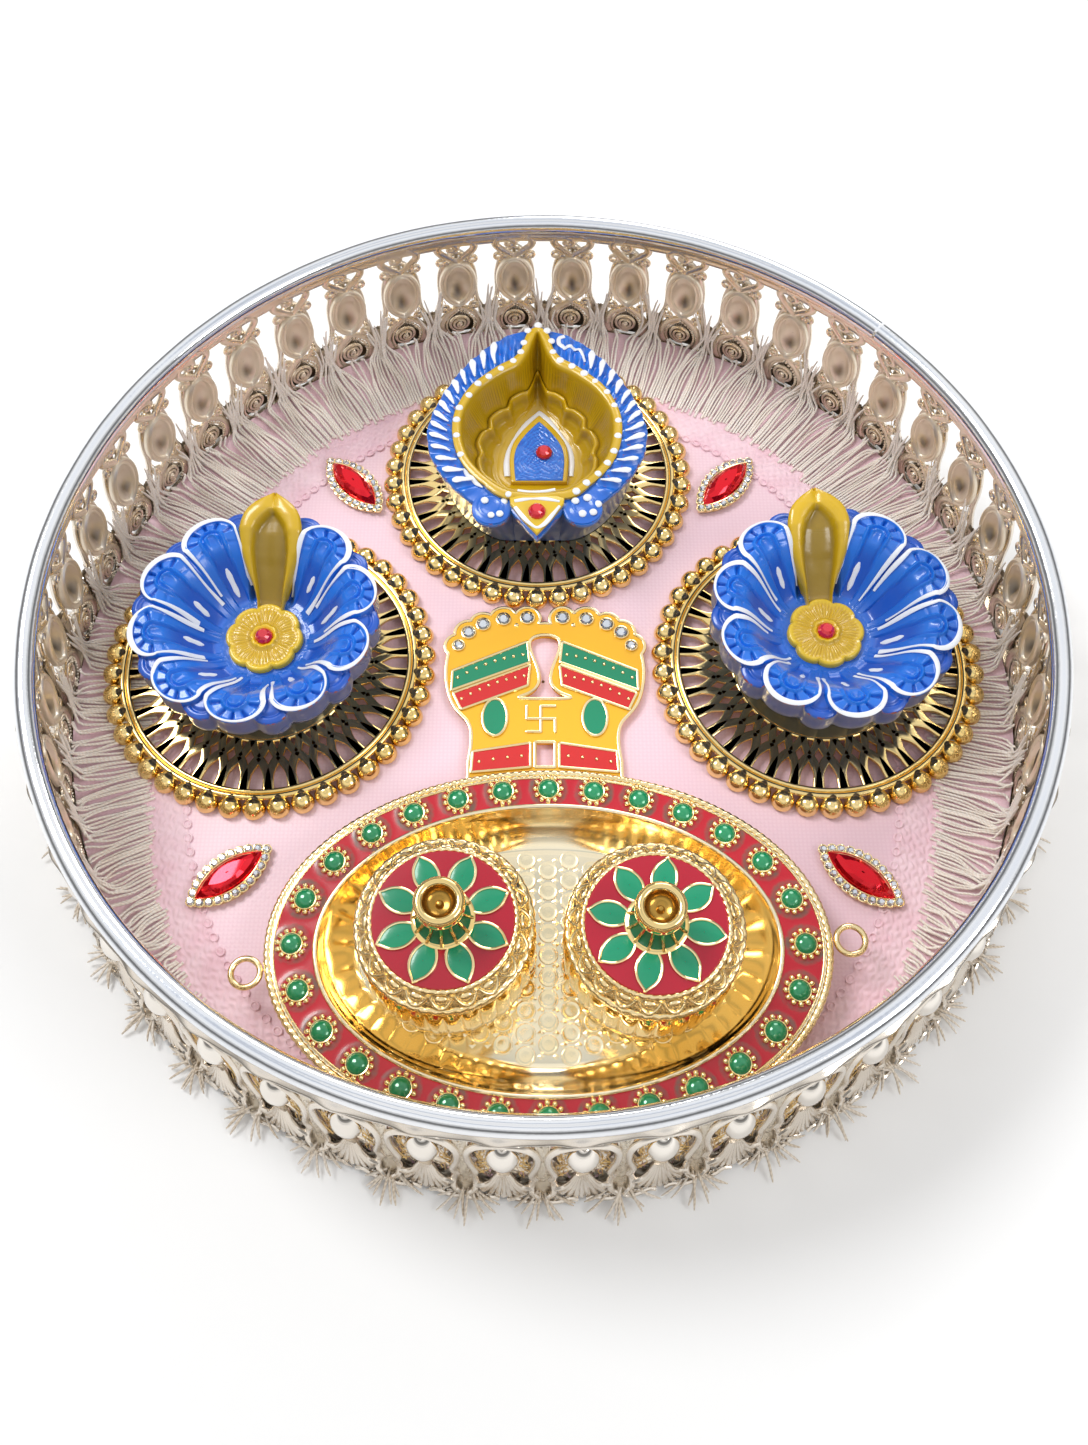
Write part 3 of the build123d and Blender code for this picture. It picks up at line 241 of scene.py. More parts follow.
def sheet_shape(outlines, low, high, bevel=0.3):
    """A flat plate in mm with rounded edges; every outline after the first cuts or adds."""
    curve = bpy.data.curves.new("plate_outline", "CURVE")
    curve.dimensions = "2D"
    curve.fill_mode = "BOTH"
    curve.extrude = (high - low) / 2 - bevel
    curve.bevel_depth = bevel
    curve.bevel_resolution = 2
    curve.offset = -bevel
    for outline in outlines:
        spline = curve.splines.new("POLY")
        spline.points.add(len(outline) - 1)
        for point, (x, y) in zip(spline.points, outline):
            point.co = (x, y, 0, 1)
        spline.use_cyclic_u = True
    obj = bpy.data.objects.new("plate_outline", curve)
    made = bpy.data.meshes.new_from_object(obj)
    points = np.array([v.co[:] for v in made.vertices]) + [0, 0, (low + high) / 2]
    quads = []
    for face in made.polygons:
        first, *rest = face.vertices
        quads += [[first, b, c, c] for b, c in zip(rest, rest[1:])]
    bpy.data.objects.remove(obj)
    bpy.data.curves.remove(curve)
    bpy.data.meshes.remove(made)
    return points, np.array(quads)


print("object maker ready")

# %% [markdown]
# The camera looks down on the thali from the front, at the height and distance
# that make the rim's ellipse and the pots' height agree with the photograph.
# %% Camera
EYE = Vector((0.0003, -0.1922, 0.3713))
AIM = Vector((0.0003, -0.04134, 0.06))
IMAGE = (1088, 1445)
FOCAL_PIXELS = 1250
camera_data = bpy.data.cameras.new("camera")
camera_data.sensor_width = 36
camera_data.lens = FOCAL_PIXELS / max(IMAGE) * camera_data.sensor_width
camera_data.clip_start = 0.01
camera = bpy.data.objects.new("camera", camera_data)
camera.location = EYE
camera.rotation_euler = (AIM - EYE).to_track_quat("-Z", "Y").to_euler()
bpy.context.scene.collection.objects.link(camera)
bpy.context.scene.camera = camera
print("lens", round(camera_data.lens, 2), "mm")

# %% [markdown]
# The light is a plain white room: three soft lamps and a pale world. Polished gold
# and silver only look like metal when they have something to mirror, so the world has
# soft grey bands between white ones for the mirrored rays, as a studio tent has. The
# rays that go straight from the camera to the world meet plain white.
# %% World and lamps
world = bpy.data.worlds.new("tent")
bpy.context.scene.world = world
world.use_nodes = True
wt = world.node_tree
wt.nodes.clear()


def add(tree, kind, **settings):
    node = tree.nodes.new(kind)
    for key, value in settings.items():
        setattr(node, key, value)
    return node


def background(strength=1):
    node = add(wt, "ShaderNodeBackground")
    node.inputs["Color"].default_value = (1, 1, 1, 1)
    node.inputs["Strength"].default_value = strength
    return node


def choose(ray, otherwise, chosen):
    """Shows one light to the rays of a kind and another to the rest."""
    node = add(wt, "ShaderNodeMixShader")
    for k, socket in enumerate((rays.outputs[ray], otherwise, chosen)):
        wt.links.new(socket, node.inputs[k])
    return node.outputs[0]


TENT = [(0, 0.9), (0.5, 0.95), (0.6, 0.3), (0.7, 0.16), (0.8, 0.62), (0.88, 1), (0.955, (0.95, 0.97, 1)),
        (0.975, (0.58, 0.62, 0.7)), (0.99, 0.95), (1, 0.9)]
SOFT_LIGHT = 0.6
tent = add(wt, "ShaderNodeValToRGB")
tent.color_ramp.interpolation = "EASE"
for _ in TENT[2:]:
    tent.color_ramp.elements.new(0.5)
for element, (at, shade) in zip(tent.color_ramp.elements, TENT):
    element.position = at
    element.color = (*(shade if isinstance(shade, tuple) else (shade,) * 3), 1)
up_down = add(wt, "ShaderNodeSeparateXYZ")
wt.links.new(add(wt, "ShaderNodeTexCoord").outputs["Generated"], up_down.inputs[0])
half = add(wt, "ShaderNodeMath", operation="MULTIPLY_ADD")
half.inputs[1].default_value = half.inputs[2].default_value = 0.5
wt.links.new(up_down.outputs["Z"], half.inputs[0])
wt.links.new(half.outputs[0], tent.inputs[0])
tent_light = background()
wt.links.new(tent.outputs[0], tent_light.inputs["Color"])
rays = add(wt, "ShaderNodeLightPath")
plain = background().outputs[0]
light = choose("Is Glossy Ray", background(SOFT_LIGHT).outputs[0], tent_light.outputs[0])
light = choose("Is Camera Ray", light, plain)
light = choose("Is Transmission Ray", light, plain)
wt.links.new(light, add(wt, "ShaderNodeOutputWorld").inputs["Surface"])
print("world:", len(wt.nodes), "nodes")

# %% Three soft lamps
LAMP_AIM = Vector((0, 0, 0.03))
for name, place, size, watts in (("key_lamp", (-0.55, 0.35, 0.95), 0.45, 6.5),
                                 ("fill_lamp", (0.75, -0.35, 0.75), 0.5, 3.2),
                                 ("back_lamp", (0.2, 0.9, 0.6), 0.5, 2.6)):
    data = bpy.data.lights.new(name, "AREA")
    data.shape, data.size, data.energy = "DISK", size, watts
    lamp = bpy.data.objects.new(name, data)
    lamp.location = place
    lamp.rotation_euler = (LAMP_AIM - Vector(place)).to_track_quat("-Z", "Y").to_euler()
    bpy.context.scene.collection.objects.link(lamp)
bpy.context.scene.view_settings.view_transform = "Standard"
print(len(bpy.data.lights), "lamps")

# %% [markdown]
# The floor is pale and matt. The camera and the mirrored rays meet the white world
# behind it, so the background stays white while a soft shadow lies under the tray.
# %% Floor
FLOOR_HALF = 4000
floor_material = bpy.data.materials.new("floor_paper")
floor_material.use_nodes = True
ft = floor_material.node_tree
floor_shader = ft.nodes["Principled BSDF"]
floor_shader.inputs["Base Color"].default_value = (0.92, 0.92, 0.92, 1)
floor_shader.inputs["Roughness"].default_value = 0.9
floor_shader.inputs["Specular IOR Level"].default_value = 0.1
floor_mesh = bpy.data.meshes.new("floor")
floor_mesh.from_pydata([(x * FLOOR_HALF * MM, y * FLOOR_HALF * MM, -0.0002)
                        for x, y in ((-1, -1), (1, -1), (1, 1), (-1, 1))], [], [(0, 1, 2, 3)])
floor_mesh.materials.append(floor_material)
floor = bpy.data.objects.new("floor", floor_mesh)
bpy.context.scene.collection.objects.link(floor)
print("floor laid")

# %% [markdown]
# Several finishes share an effect, so each effect is a node group: fine grain for
# moulded and cast surfaces, a plain weave for cloth, and the twist of a thread. A
# group gives out only colours, masks and heights; the shader stays in the material.
# %% Shared node groups
def new_group(name, inputs, outputs):
    group = bpy.data.node_groups.new(name, "ShaderNodeTree")
    for kind, label, value in inputs:
        socket = group.interface.new_socket(name=label, in_out="INPUT", socket_type=kind)
        socket.default_value = value
    for kind, label in outputs:
        group.interface.new_socket(name=label, in_out="OUTPUT", socket_type=kind)
    return group, add(group, "NodeGroupInput"), add(group, "NodeGroupOutput")


def kept(tree, name):
    """A number that is kept on the mesh's points."""
    return add(tree, "ShaderNodeAttribute", attribute_name=name).outputs["Fac"]


def math_node(tree, operation, a, b=None, c=None):
    """A maths node; a, b and c are sockets or plain numbers."""
    node = add(tree, "ShaderNodeMath", operation=operation)
    for k, value in enumerate((a, b, c)):
        if value is None:
            continue
        if isinstance(value, (int, float)):
            node.inputs[k].default_value = value
        else:
            tree.links.new(value, node.inputs[k])
    return node.outputs[0]


def noise_node(tree, vector, scale, detail=3, rough=0.6):
    node = add(tree, "ShaderNodeTexNoise")
    node.inputs["Detail"].default_value = detail
    node.inputs["Roughness"].default_value = rough
    tree.links.new(vector, node.inputs["Vector"])
    if isinstance(scale, (int, float)):
        node.inputs["Scale"].default_value = scale
    else:
        tree.links.new(scale, node.inputs["Scale"])
    return node.outputs["Fac"]


def make_grain():
    """Uneven grain: a soft large mask and a fine height, from the object's own place."""
    group, given, result = new_group(
        "grain", [("NodeSocketFloat", "Scale", 300)],
        [("NodeSocketFloat", "Height"), ("NodeSocketFloat", "Mask")])
    at = add(group, "ShaderNodeTexCoord").outputs["Object"]
    fine = noise_node(group, at, given.outputs["Scale"], 4)
    wide = noise_node(group, at, math_node(group, "MULTIPLY", given.outputs["Scale"], 0.12), 2)
    group.links.new(fine, result.inputs["Height"])
    group.links.new(wide, result.inputs["Mask"])
    return group


def make_weave():
    """Plain weave seen as a height and a mask of the gaps between the threads."""
    group, given, result = new_group(
        "weave", [("NodeSocketFloat", "Threads per metre", 2200)],
        [("NodeSocketFloat", "Height"), ("NodeSocketFloat", "Gap")])
    at = add(group, "ShaderNodeSeparateXYZ")
    group.links.new(add(group, "ShaderNodeTexCoord").outputs["Object"], at.inputs[0])
    pace = math_node(group, "MULTIPLY", given.outputs["Threads per metre"], math.pi)
    waves = [math_node(group, "SINE", math_node(group, "MULTIPLY", at.outputs[k], pace)) for k in (0, 1)]
    over = math_node(group, "MULTIPLY", waves[0], waves[1])
    strands = [math_node(group, "ABSOLUTE", w) for w in waves]
    thread = math_node(group, "MAXIMUM", strands[0], strands[1])
    height = math_node(group, "MULTIPLY_ADD", over, 0.35, thread)
    group.links.new(height, result.inputs["Height"])
    gap = math_node(group, "SUBTRACT", 1, math_node(group, "MULTIPLY", strands[0], strands[1]))
    group.links.new(gap, result.inputs["Gap"])
    return group


def make_twist():
    """Slanting strands of a twisted thread, from the numbers kept on its points."""
    group, given, result = new_group(
        "twist", [("NodeSocketFloat", "Turns per mm", 1.2)], [("NodeSocketFloat", "Height")])
    along = kept(group, "along")
    c = kept(group, "round_x")
    s = kept(group, "round_y")
    turn = math_node(group, "MULTIPLY", math_node(group, "MULTIPLY", along, given.outputs["Turns per mm"]), TAU)
    first = math_node(group, "MULTIPLY", math_node(group, "SINE", turn), c)
    second = math_node(group, "MULTIPLY", math_node(group, "COSINE", turn), s)
    group.links.new(math_node(group, "ADD", first, second), result.inputs["Height"])
    return group


GRAIN, WEAVE, TWIST = make_grain(), make_weave(), make_twist()
print("node groups:", [g.name for g in bpy.data.node_groups])


# %% [markdown]
# Each finish is one material. The recipe below sets the shader's plain values, mixes
# two shades by the grain's mask, and adds the grain as a fine bump, because no real
# surface is one flat colour. Finishes that need more get their own nodes after it.
# %% Material recipe
def use_group(tree, group, **values):
    node = add(tree, "ShaderNodeGroup", node_tree=group)
    for key, value in values.items():
        node.inputs[key.replace("_", " ")].default_value = value
    return node


def mix_colour(tree, mask, first, second):
    node = add(tree, "ShaderNodeMix", data_type="RGBA")
    for k, value in ((0, mask), (6, first), (7, second)):
        if isinstance(value, (int, float)):
            node.inputs[k].default_value = value
        elif isinstance(value, tuple):
            node.inputs[k].default_value = (*value, 1) if len(value) == 3 else value
        else:
            tree.links.new(value, node.inputs[k])
    return node.outputs[2]


def spread(tree, value, low, high, to_low=0, to_high=1):
    node = add(tree, "ShaderNodeMapRange")
    tree.links.new(value, node.inputs[0])
    for k, number in enumerate((low, high, to_low, to_high), 1):
        node.inputs[k].default_value = number
    return node.outputs[0]


def bump(tree, height, strength, distance, normal=None):
    node = add(tree, "ShaderNodeBump")
    node.inputs["Strength"].default_value = strength
    node.inputs["Distance"].default_value = distance
    tree.links.new(height, node.inputs["Height"])
    if normal is not None:
        tree.links.new(normal, node.inputs["Normal"])
    return node.outputs[0]


def parts(material):
    return material.node_tree, material.node_tree.nodes["Principled BSDF"]


def feed(shader, name, value):
    """Links a value to one of a shader's sockets."""
    shader.id_data.links.new(value, shader.inputs[name])


def fed(shader, name):
    """What is linked to a shader's socket by now."""
    return shader.inputs[name].links[0].from_socket


def finish(name, shade, tint, metal=0, rough=(0.2, 0.35), grain=300, relief=0.2,
           depth=0.0001, coat=0, coat_rough=0.08, sheen=0):
    """A material that runs unevenly between two shades."""
    material = bpy.data.materials.new(name)
    material.use_nodes = True
    tree, shader = parts(material)
    for label, value in (("Metallic", metal), ("Coat Weight", coat), ("Coat Roughness", coat_rough),
                         ("Sheen Weight", sheen), ("IOR", 1.5)):
        shader.inputs[label].default_value = value
    uneven = use_group(tree, GRAIN, Scale=grain).outputs
    feed(shader, "Base Color", mix_colour(tree, spread(tree, uneven["Mask"], 0.35, 0.65), shade, tint))
    feed(shader, "Roughness", spread(tree, uneven["Mask"], 0.3, 0.7, *rough))
    feed(shader, "Normal", bump(tree, uneven["Height"], relief, depth))
    return material


print("material recipe ready")

# %% Finishes used by several pieces
silver = finish("rim_silver", (0.9, 0.91, 0.93), (0.8, 0.82, 0.86), 1, (0.05, 0.12), 90, 0.22, 0.0006)
champagne = finish("wall_champagne", (0.84, 0.72, 0.56), (0.92, 0.82, 0.67), 0.8, (0.2, 0.32), 500, 0.2,
                   coat=0.3, coat_rough=0.2)
bowl_metal = finish("bowl_champagne", (0.9, 0.78, 0.62), (0.95, 0.86, 0.72), 0.7, (0.32, 0.4), 200, 0.04)
polished = finish("polished_champagne", (0.84, 0.79, 0.72), (0.9, 0.85, 0.78), 1, (0.04, 0.09), 200, 0.04)
pearl = finish("wall_pearl", (0.78, 0.7, 0.6), (0.86, 0.79, 0.7), 0.9, (0.13, 0.24), 400, 0.15)
gold = finish("polished_gold", (0.86, 0.61, 0.22), (0.94, 0.72, 0.33), 1, (0.05, 0.14), 240, 0.12)
pale_gold = finish("cast_gold", (0.9, 0.69, 0.34), (0.96, 0.79, 0.46), 1, (0.1, 0.2), 500, 0.15)
tray_gold = finish("tray_gold", (0.94, 0.8, 0.52), (0.98, 0.87, 0.64), 1, (0.07, 0.16), 120, 0.04)
print("metals:", [m.name for m in (silver, champagne, pearl, gold, pale_gold)])

# %% [markdown]
# The rim is a tube of polished silver-coloured metal, bent to a ring and closed with
# one butt seam. A turned circle would be too perfect: a bent tube waves a little, and
# those waves are what make its long highlights wander, so they are added to the ring.
# %% Rim tube
RIM_R, RIM_TUBE_R, RIM_Z = 148.9, 3.1, 60
SEAM_AT, SEAM_GAP = 42.5, 0.35
WALL_TOP_R, WALL_FLARE, WALL_TOP_Z, WALL_LOW_Z = 148.2, 6.3, 56.8, 0.4
swing = np.radians(SEAM_AT + SEAM_GAP / 2 + np.linspace(0, 360 - SEAM_GAP, 540))
dent = 0.1 * np.sin(7 * swing + 0.6) + 0.06 * np.sin(17 * swing) + 0.03 * np.sin(41 * swing + 2)
ring_r = RIM_R - 0.12 + dent * 0.5
rim_path = np.stack([ring_r * np.cos(swing), ring_r * np.sin(swing), RIM_Z - 0.12 + 0.4 * dent], 1)
rim_tube = piece("rim_tube_ring", tube(rim_path, RIM_TUBE_R - 0.08, sides=28), silver, slot="silver_tube")
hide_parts("rim_tube")

# %% [markdown]
# The wall is a strip of moulded openwork with 46 motifs. Each motif is drawn flat, as
# width along the wall, height, and distance out from the inner face, and a small
# function then wraps it round the flared wall. That way one motif is modelled carefully
# and the ring of them costs nothing more. Only the arches and the columns change on
# their way round: they are wide and tall at the front, narrow and low at the back.
# %% Wall frame
MOTIFS = 46
PITCH = 360 / MOTIFS
ARC_R = 151
PITCH_W = math.radians(PITCH) * ARC_R


def wall_r(z):
    """Inner radius of the wall at a height."""
    return WALL_TOP_R + WALL_FLARE * (WALL_TOP_Z - z) / (WALL_TOP_Z - WALL_LOW_Z)


def on_wall(shape, middle):
    """Wraps a flat shape (width, height, out) round the wall, with its middle at an angle."""
    u, z, out = shape[0].T
    return polar(wall_r(z) + out, math.radians(middle) - u / ARC_R, z), shape[1][:, ::-1]


def all_round(shape):
    return join([on_wall(shape, k * PITCH) for k in range(MOTIFS)])


def wall_piece(name, shape, material, **more):
    return piece(name, shape, material, slot="champagne_plastic", **more)


def at_front(angle):
    """How much an angle in degrees belongs to the front: 1 there, 0 at the back."""
    return float(np.clip(0.5 - 1.6 * math.sin(math.radians(angle)), 0, 1))


def flat_line(points, count, out=0):
    """A soft curve in the flat drawing, at a distance out that may change along it."""
    line = smooth_line(points, count)
    if line.shape[1] == 3:
        return line
    return np.column_stack([line, np.broadcast_to(out, len(line))])


def mirrored(shape):
    return shape[0] * [-1, 1, 1], shape[1][:, ::-1]


print("one motif is", round(PITCH_W, 2), "mm wide")

# %% [markdown]
# The heart of a motif is an egg-shaped cabochon: from inside it is a bowl with a
# double rim, from outside a polished dome. It is built as rings of points that shrink
# from the edge to the middle, once for each side, so both faces are smooth metal.
# %% Egg cabochon
EGG_Z, EGG_W, EGG_H, EGG_STEPS = 32.7, 6.8, 12, 40


def egg_ring(inset, out, share=None):
    """One ring of the egg, moved in from its edge, or a share of its size."""
    t = even_turn(EGG_STEPS)
    low = np.clip(-np.cos(t), 0, 1)
    w, h = (EGG_W - inset, EGG_H - inset) if share is None else (EGG_W * share, EGG_H * share)
    u = w * np.sign(np.sin(t)) * np.abs(np.sin(t)) ** (1.05 + 0.45 * low)
    return np.stack([u, EGG_Z + h * np.cos(t) - 0.04 * inset, np.full(EGG_STEPS, float(out))], 1)


bowl_rings = [egg_ring(d, out) for d, out in (
    (0, 1.7), (0, 0.5), (0.22, -0.12), (0.62, -0.38), (1.05, -0.2), (1.3, 0.12), (1.48, 0.22), (1.66, 0.06),
    (1.95, -0.16), (2.3, -0.14), (2.6, 0.15), (2.85, 0.65))]
bowl_rings += [egg_ring(0, 2.75 - 2.1 * (s / 0.58) ** 2.4, share=s)
               for s in (0.55, 0.48, 0.39, 0.29, 0.19, 0.09, 0.01)]
dome_rings = [egg_ring(d, out) for d, out in (
    (0, 1.7), (0.1, 1.9), (0.5, 2), (0.9, 1.85), (1.3, 1.5), (1.8, 1.4))]
dome_rings += [egg_ring(0, 1.5 + 4.1 * math.sqrt(max(0, 1 - (s / 0.67) ** 2)), share=s)
               for s in (0.67, 0.66, 0.63, 0.58, 0.52, 0.45, 0.36, 0.25, 0.12, 0.01)]
bowl, dome = ringed(bowl_rings), ringed(dome_rings)
x, z, out = bowl[0].T
# Painted shade: the hollow of each bowl, a little below its middle, is darkened toward dark brown.
soot = np.exp(-(x / 2) ** 2 - ((z - EGG_Z + 4.4) / 3) ** 2) * (out > 0.3)
# A small near-white spot on the lower rim of each bowl.
worn = np.exp(-(x / 1.3) ** 2 - ((z - EGG_Z + 8) / 1.2) ** 2) * (out > 0)
wall_piece("wall_egg_bowls", all_round(flipped(bowl)), bowl_metal,
           values={"soot": np.tile(soot, MOTIFS), "worn": np.tile(worn, MOTIFS)})
tree, shader = parts(bowl_metal)
dark = mix_colour(tree, spread(tree, kept(tree, "soot"), 0, 1, 0, 0.85), fed(shader, "Base Color"),
                  (0.2, 0.15, 0.1))
feed(shader, "Base Color", mix_colour(tree, kept(tree, "worn"), dark, (1, 0.96, 0.88)))
wall_piece("wall_egg_domes", all_round(dome), polished)

# %% [markdown]
# Above the egg a lopsided heart of two round bars joins it to the band under the rim,
# and one bar ends in a hook. Four ringlets sit at its corners. Below it a pointed
# C-frame with a row of beads holds a spiral. All of them are bars swept along soft
# curves; the spiral is a curve whose radius grows with its turn.
# %% Scrolls, ringlets and rosettes
hook = flat_line([(-0.2, 44.4), (-2.6, 46.6), (-5.4, 49.2), (-6.6, 51.4), (-5.6, 53.6), (-3, 54),
                  (-0.6, 52.9), (0.2, 51.3), (-1.2, 50.2), (-2.8, 50.9), (-2.4, 52)], 44, 0.9)
hook_w = swell(44, [0, 0.12, 0.55, 0.8, 1], [1.1, 1.45, 1.5, 1.15, 0.7])
arm = flat_line([(0.2, 44.4), (2.2, 46.3), (4.6, 48.2), (6.2, 50.2), (6.3, 52.2), (4.8, 53.9), (2.6, 55)],
                30, 0.9)
arm_w = swell(30, [0, 0.5, 1], [1.1, 1.5, 1.3])
inner_v = flat_line([(-3.9, 49.6), (-1.8, 47.6), (0, 46.4), (2.2, 48.2), (4.3, 50.4)], 20, 0.35)
tie = flat_line([(-8.6, 54.8), (-6.9, 54), (-6.2, 52.6)], 10, 0.8)
bars = [tube(hook, hook_w, 0.95, 10), tube(arm, arm_w, 0.95, 10), tube(inner_v, 0.28, 0.3, 6),
        tube(tie, 0.8, 0.6, 8), mirrored(tube(tie, 0.8, 0.6, 8))]
for x, z in ((5.7, 45.3), (5.35, 20.4)):
    ring = np.array([(x + 1.32 * math.cos(a), z + 1.32 * math.sin(a), 0.8) for a in even_turn(14)])
    link = tube(flat_line([(x - 1.1, z - 0.6), (x - 2.6, z - 1.2)], 4, 0.9), 0.7, 0.6, 8)
    right = join([tube(ring, 0.74, 0.8, 8, closed=True), link])
    bars += [right, mirrored(right)]
wall_piece("wall_scrolls", all_round(join(bars)), champagne)

ROSETTE_Z = 11.3
frame_left = flat_line([(0, 20.9), (-2.4, 19), (-5.2, 16.2), (-6.9, 12.4), (-6.9, 8.2), (-5.2, 4.4), (-2.4, 2)],
                       34, 0.9)
frame_inner = flat_line([(-0.4, 18.6), (-3.4, 15.9), (-5, 12.4), (-5, 8.6), (-3.6, 5.6), (-1.2, 3.8)], 24, 0.5)
t = np.linspace(0, 1, 68)
coil = 4.1 * (0.16 + 0.84 * t)
turn = TAU * 2.6 * t + 1.2
spiral = np.stack([coil * np.cos(turn), ROSETTE_Z - 0.6 + 1.12 * coil * np.sin(turn), 0.3 + 0.9 * t], 1)
bars = [tube(frame_left, 1.35, 1, 10), mirrored(tube(frame_left, 1.2, 1, 10)), tube(frame_inner, 0.4, 0.4, 6),
        tube(spiral, np.interp(t, [0, 0.1, 1], [0.75, 0.5, 0.62]), 0.62, 8),
        ball(0.9, 0, ROSETTE_Z - 0.5, 0.3, 10, 6)]
beads = flat_line([(0.6, 18.4), (3.6, 15.6), (5.1, 12.2), (5.1, 8.6), (3.8, 5.6), (1.6, 3.6)], 15, 0.45)
bars += [ball(0.52, *at, 8, 5) for at in beads]
foot = np.array([[(u, z, out) for z, out in ((0.4, 1.8), (0.4, 0.3), (2, 0.1), (3.4, 0.4), (3.6, 1.8))]
                 for u in np.linspace(-PITCH_W / 2, PITCH_W / 2, 5)])
wall_piece("wall_rosettes", all_round(join(bars + [grid(foot)])), champagne)

# %% [markdown]
# Outside, a smooth horseshoe arch stands round every dome, and granulated columns
# widen to the foot between them. The recess behind an arch shows thin crossing gold wires,
# and at the front a near-black sheet of painted shade lies behind them. Under a dome the foot
# opens like a shell, with painted shade on its back between the ribs, and its leaf ends curl outward.
# The arch is drawn twice, narrow and wide, and each place mixes the two.
# %% Arches, columns, shells and leaf ends
def arch_bars(half):
    """A horseshoe arch whose right-hand side is given, and the clasp at its crown."""
    path = half + [(0, 47.8)] + [(-u, z) for u, z in half[::-1]]
    bar = tube(flat_line(path, 56, 2.7), swell(56, [0, 0.12, 0.5, 0.88, 1], [1.35, 1.05, 1.2, 1.05, 1.35]),
               1.1, 12)
    clasp = flat_line([(0, 49.6), (0.1, 46.8), (-0.1, 41.6)], 8, [2.9, 3.2, 3.2, 3, 2.8, 2.6, 2.4, 2.2])
    return join([bar, tube(clasp, [2.1, 1.7, 1.3, 1.1, 0.95, 0.85, 0.7, 0.4], 0.7, 10)])


narrow = arch_bars([(8.4, 13), (7.9, 17.5), (6.7, 22), (6.2, 27), (6.3, 33), (5.8, 38), (4.5, 42.6),
                    (2.4, 46.2)])
wide = arch_bars([(8, 14), (7.4, 18), (8, 22.5), (8.8, 28), (9, 34), (8.5, 39.5), (6.6, 44.4), (3.4, 47.2)])
bars = []
shell_root = 18
for k in range(-4, 5):
    tip = (k * 1.75, 2.4 + 0.3 * k * k)
    rib = flat_line([(k * 0.35, shell_root, 2.6), (k, 10.5, 3.9), (*tip, 5 - 0.06 * k * k)], 12)
    bars.append(tube(rib, swell(12, [0, 0.3, 1], [0.35, 0.6, 1]), 0.85, 8))
fan_back = [[(u * s, shell_root - (shell_root - 2.6) * s, 2.2 + 1.6 * s) for u in np.linspace(-8.2, 8.2, 9)]
            for s in np.linspace(0.05, 1, 8)]
for side in (-1, 1):
    leaf = flat_line([(side * 8.4, 13.6, 2.7), (side * 7.4, 9, 3.2), (side * 7.6, 5, 4.8),
                      (side * 9.6, 2.4, 5.9), (side * 8, 1.5, 6.3), (side * 5.4, 1.6, 6.1),
                      (side * 3.2, 2.3, 5.6), (side * 1.2, 1.7, 5.9)], 34)
    bars.append(tube(leaf, swell(34, [0, 0.4, 0.7, 1], [1.2, 0.75, 0.8, 0.7]), 0.7, 8))
    for u, z in ((6.6, 2.6), (4.2, 2.8)):
        eye = np.array([(side * u + 0.75 * math.cos(a), z + 0.6 * math.sin(a), 5.4) for a in even_turn(9)])
        bars.append(tube(eye, 0.33, 0.33, 6, closed=True))
opened = []
for k in range(MOTIFS):
    front = at_front(k * PITCH)
    opened.append(on_wall((narrow[0] * (1 - front) + wide[0] * front, narrow[1]), k * PITCH))
wall_piece("wall_shells", all_round(join(bars)), pearl)
wall_arches = wall_piece("wall_arches", join(opened), pearl)
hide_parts("gallery_wall")

# Painted shade: a near-black finish for surfaces that stand in for the shadow behind openwork, on the shell
# backs, the recess backs and the stand pits.
shade_dark = finish("painted_recess_shade", (0.045, 0.028, 0.014), (0.11, 0.07, 0.032), 0.35, (0.4, 0.6), 500, 0.3)
wall_piece("wall_shell_back_shade", all_round(grid(fan_back)), shade_dark)

recess = ringed([[(8.3 * s * math.sin(a), 33 + 14 * s * math.cos(a) - 2.5 * s * (math.cos(a) < -0.6), 1.2)
                  for a in even_turn(32)] for s in (1, 0.6, 0.2, 0.02)])
fronts = [k for k in range(MOTIFS) if math.sin(math.radians(k * PITCH)) < -0.15]
wall_piece("wall_recess_back_shade", join([on_wall(recess, k * PITCH) for k in fronts]), shade_dark)

# %% Granulated columns
rows, cols = 46, 15
height = np.linspace(1, 49, rows)
column_w = np.interp(height, [1, 5, 12, 22, 36, 49], [4.2, 3.3, 2, 1.2, 1, 2])
across = np.linspace(-1, 1, cols)
dice = np.random.default_rng(11)
grains = dice.normal(0, 1, (rows, cols))
grains = 0.16 * (grains + np.roll(grains, 1, 0) * 0.3)
crown = 2 + 0.95 * (1 - across ** 2) ** 0.6 + grains * (1 - across ** 4)
crown = crown + np.interp(height, [1, 4, 9], [2.6, 1.1, 0])[:, None]
column = np.stack([across * column_w[:, None], np.broadcast_to(height[:, None], (rows, cols)), crown], 2)
back = column.copy()
back[..., 2] = np.minimum(crown - 1.2, 1.4)
column_shape = join([grid(column), flipped(grid(back))])
granular = finish("granulated_champagne", (0.74, 0.65, 0.52), (0.84, 0.76, 0.63), 0.9, (0.22, 0.36), 1500, 0.5,
                  0.0002)


def grown(shape):
    """Columns stand full height at the front and stay low at the back, behind the fringe."""
    middles = [(k + 0.5) * PITCH for k in range(MOTIFS)]
    return join([on_wall((shape[0] * [1, 0.36 + 0.64 * at_front(m), 1], shape[1]), m) for m in middles])


wall_piece("wall_columns", grown(column_shape), granular, sharp=80)
edges = []
for side in (-1, 1):
    path = np.column_stack([side * column_w, height, np.interp(height, [1, 4, 9], [4.9, 3.2, 2.1])])[::2]
    edges.append(tube(path, 0.42, 0.42, 6))
wall_piece("wall_column_edges", grown(join(edges)), pearl)

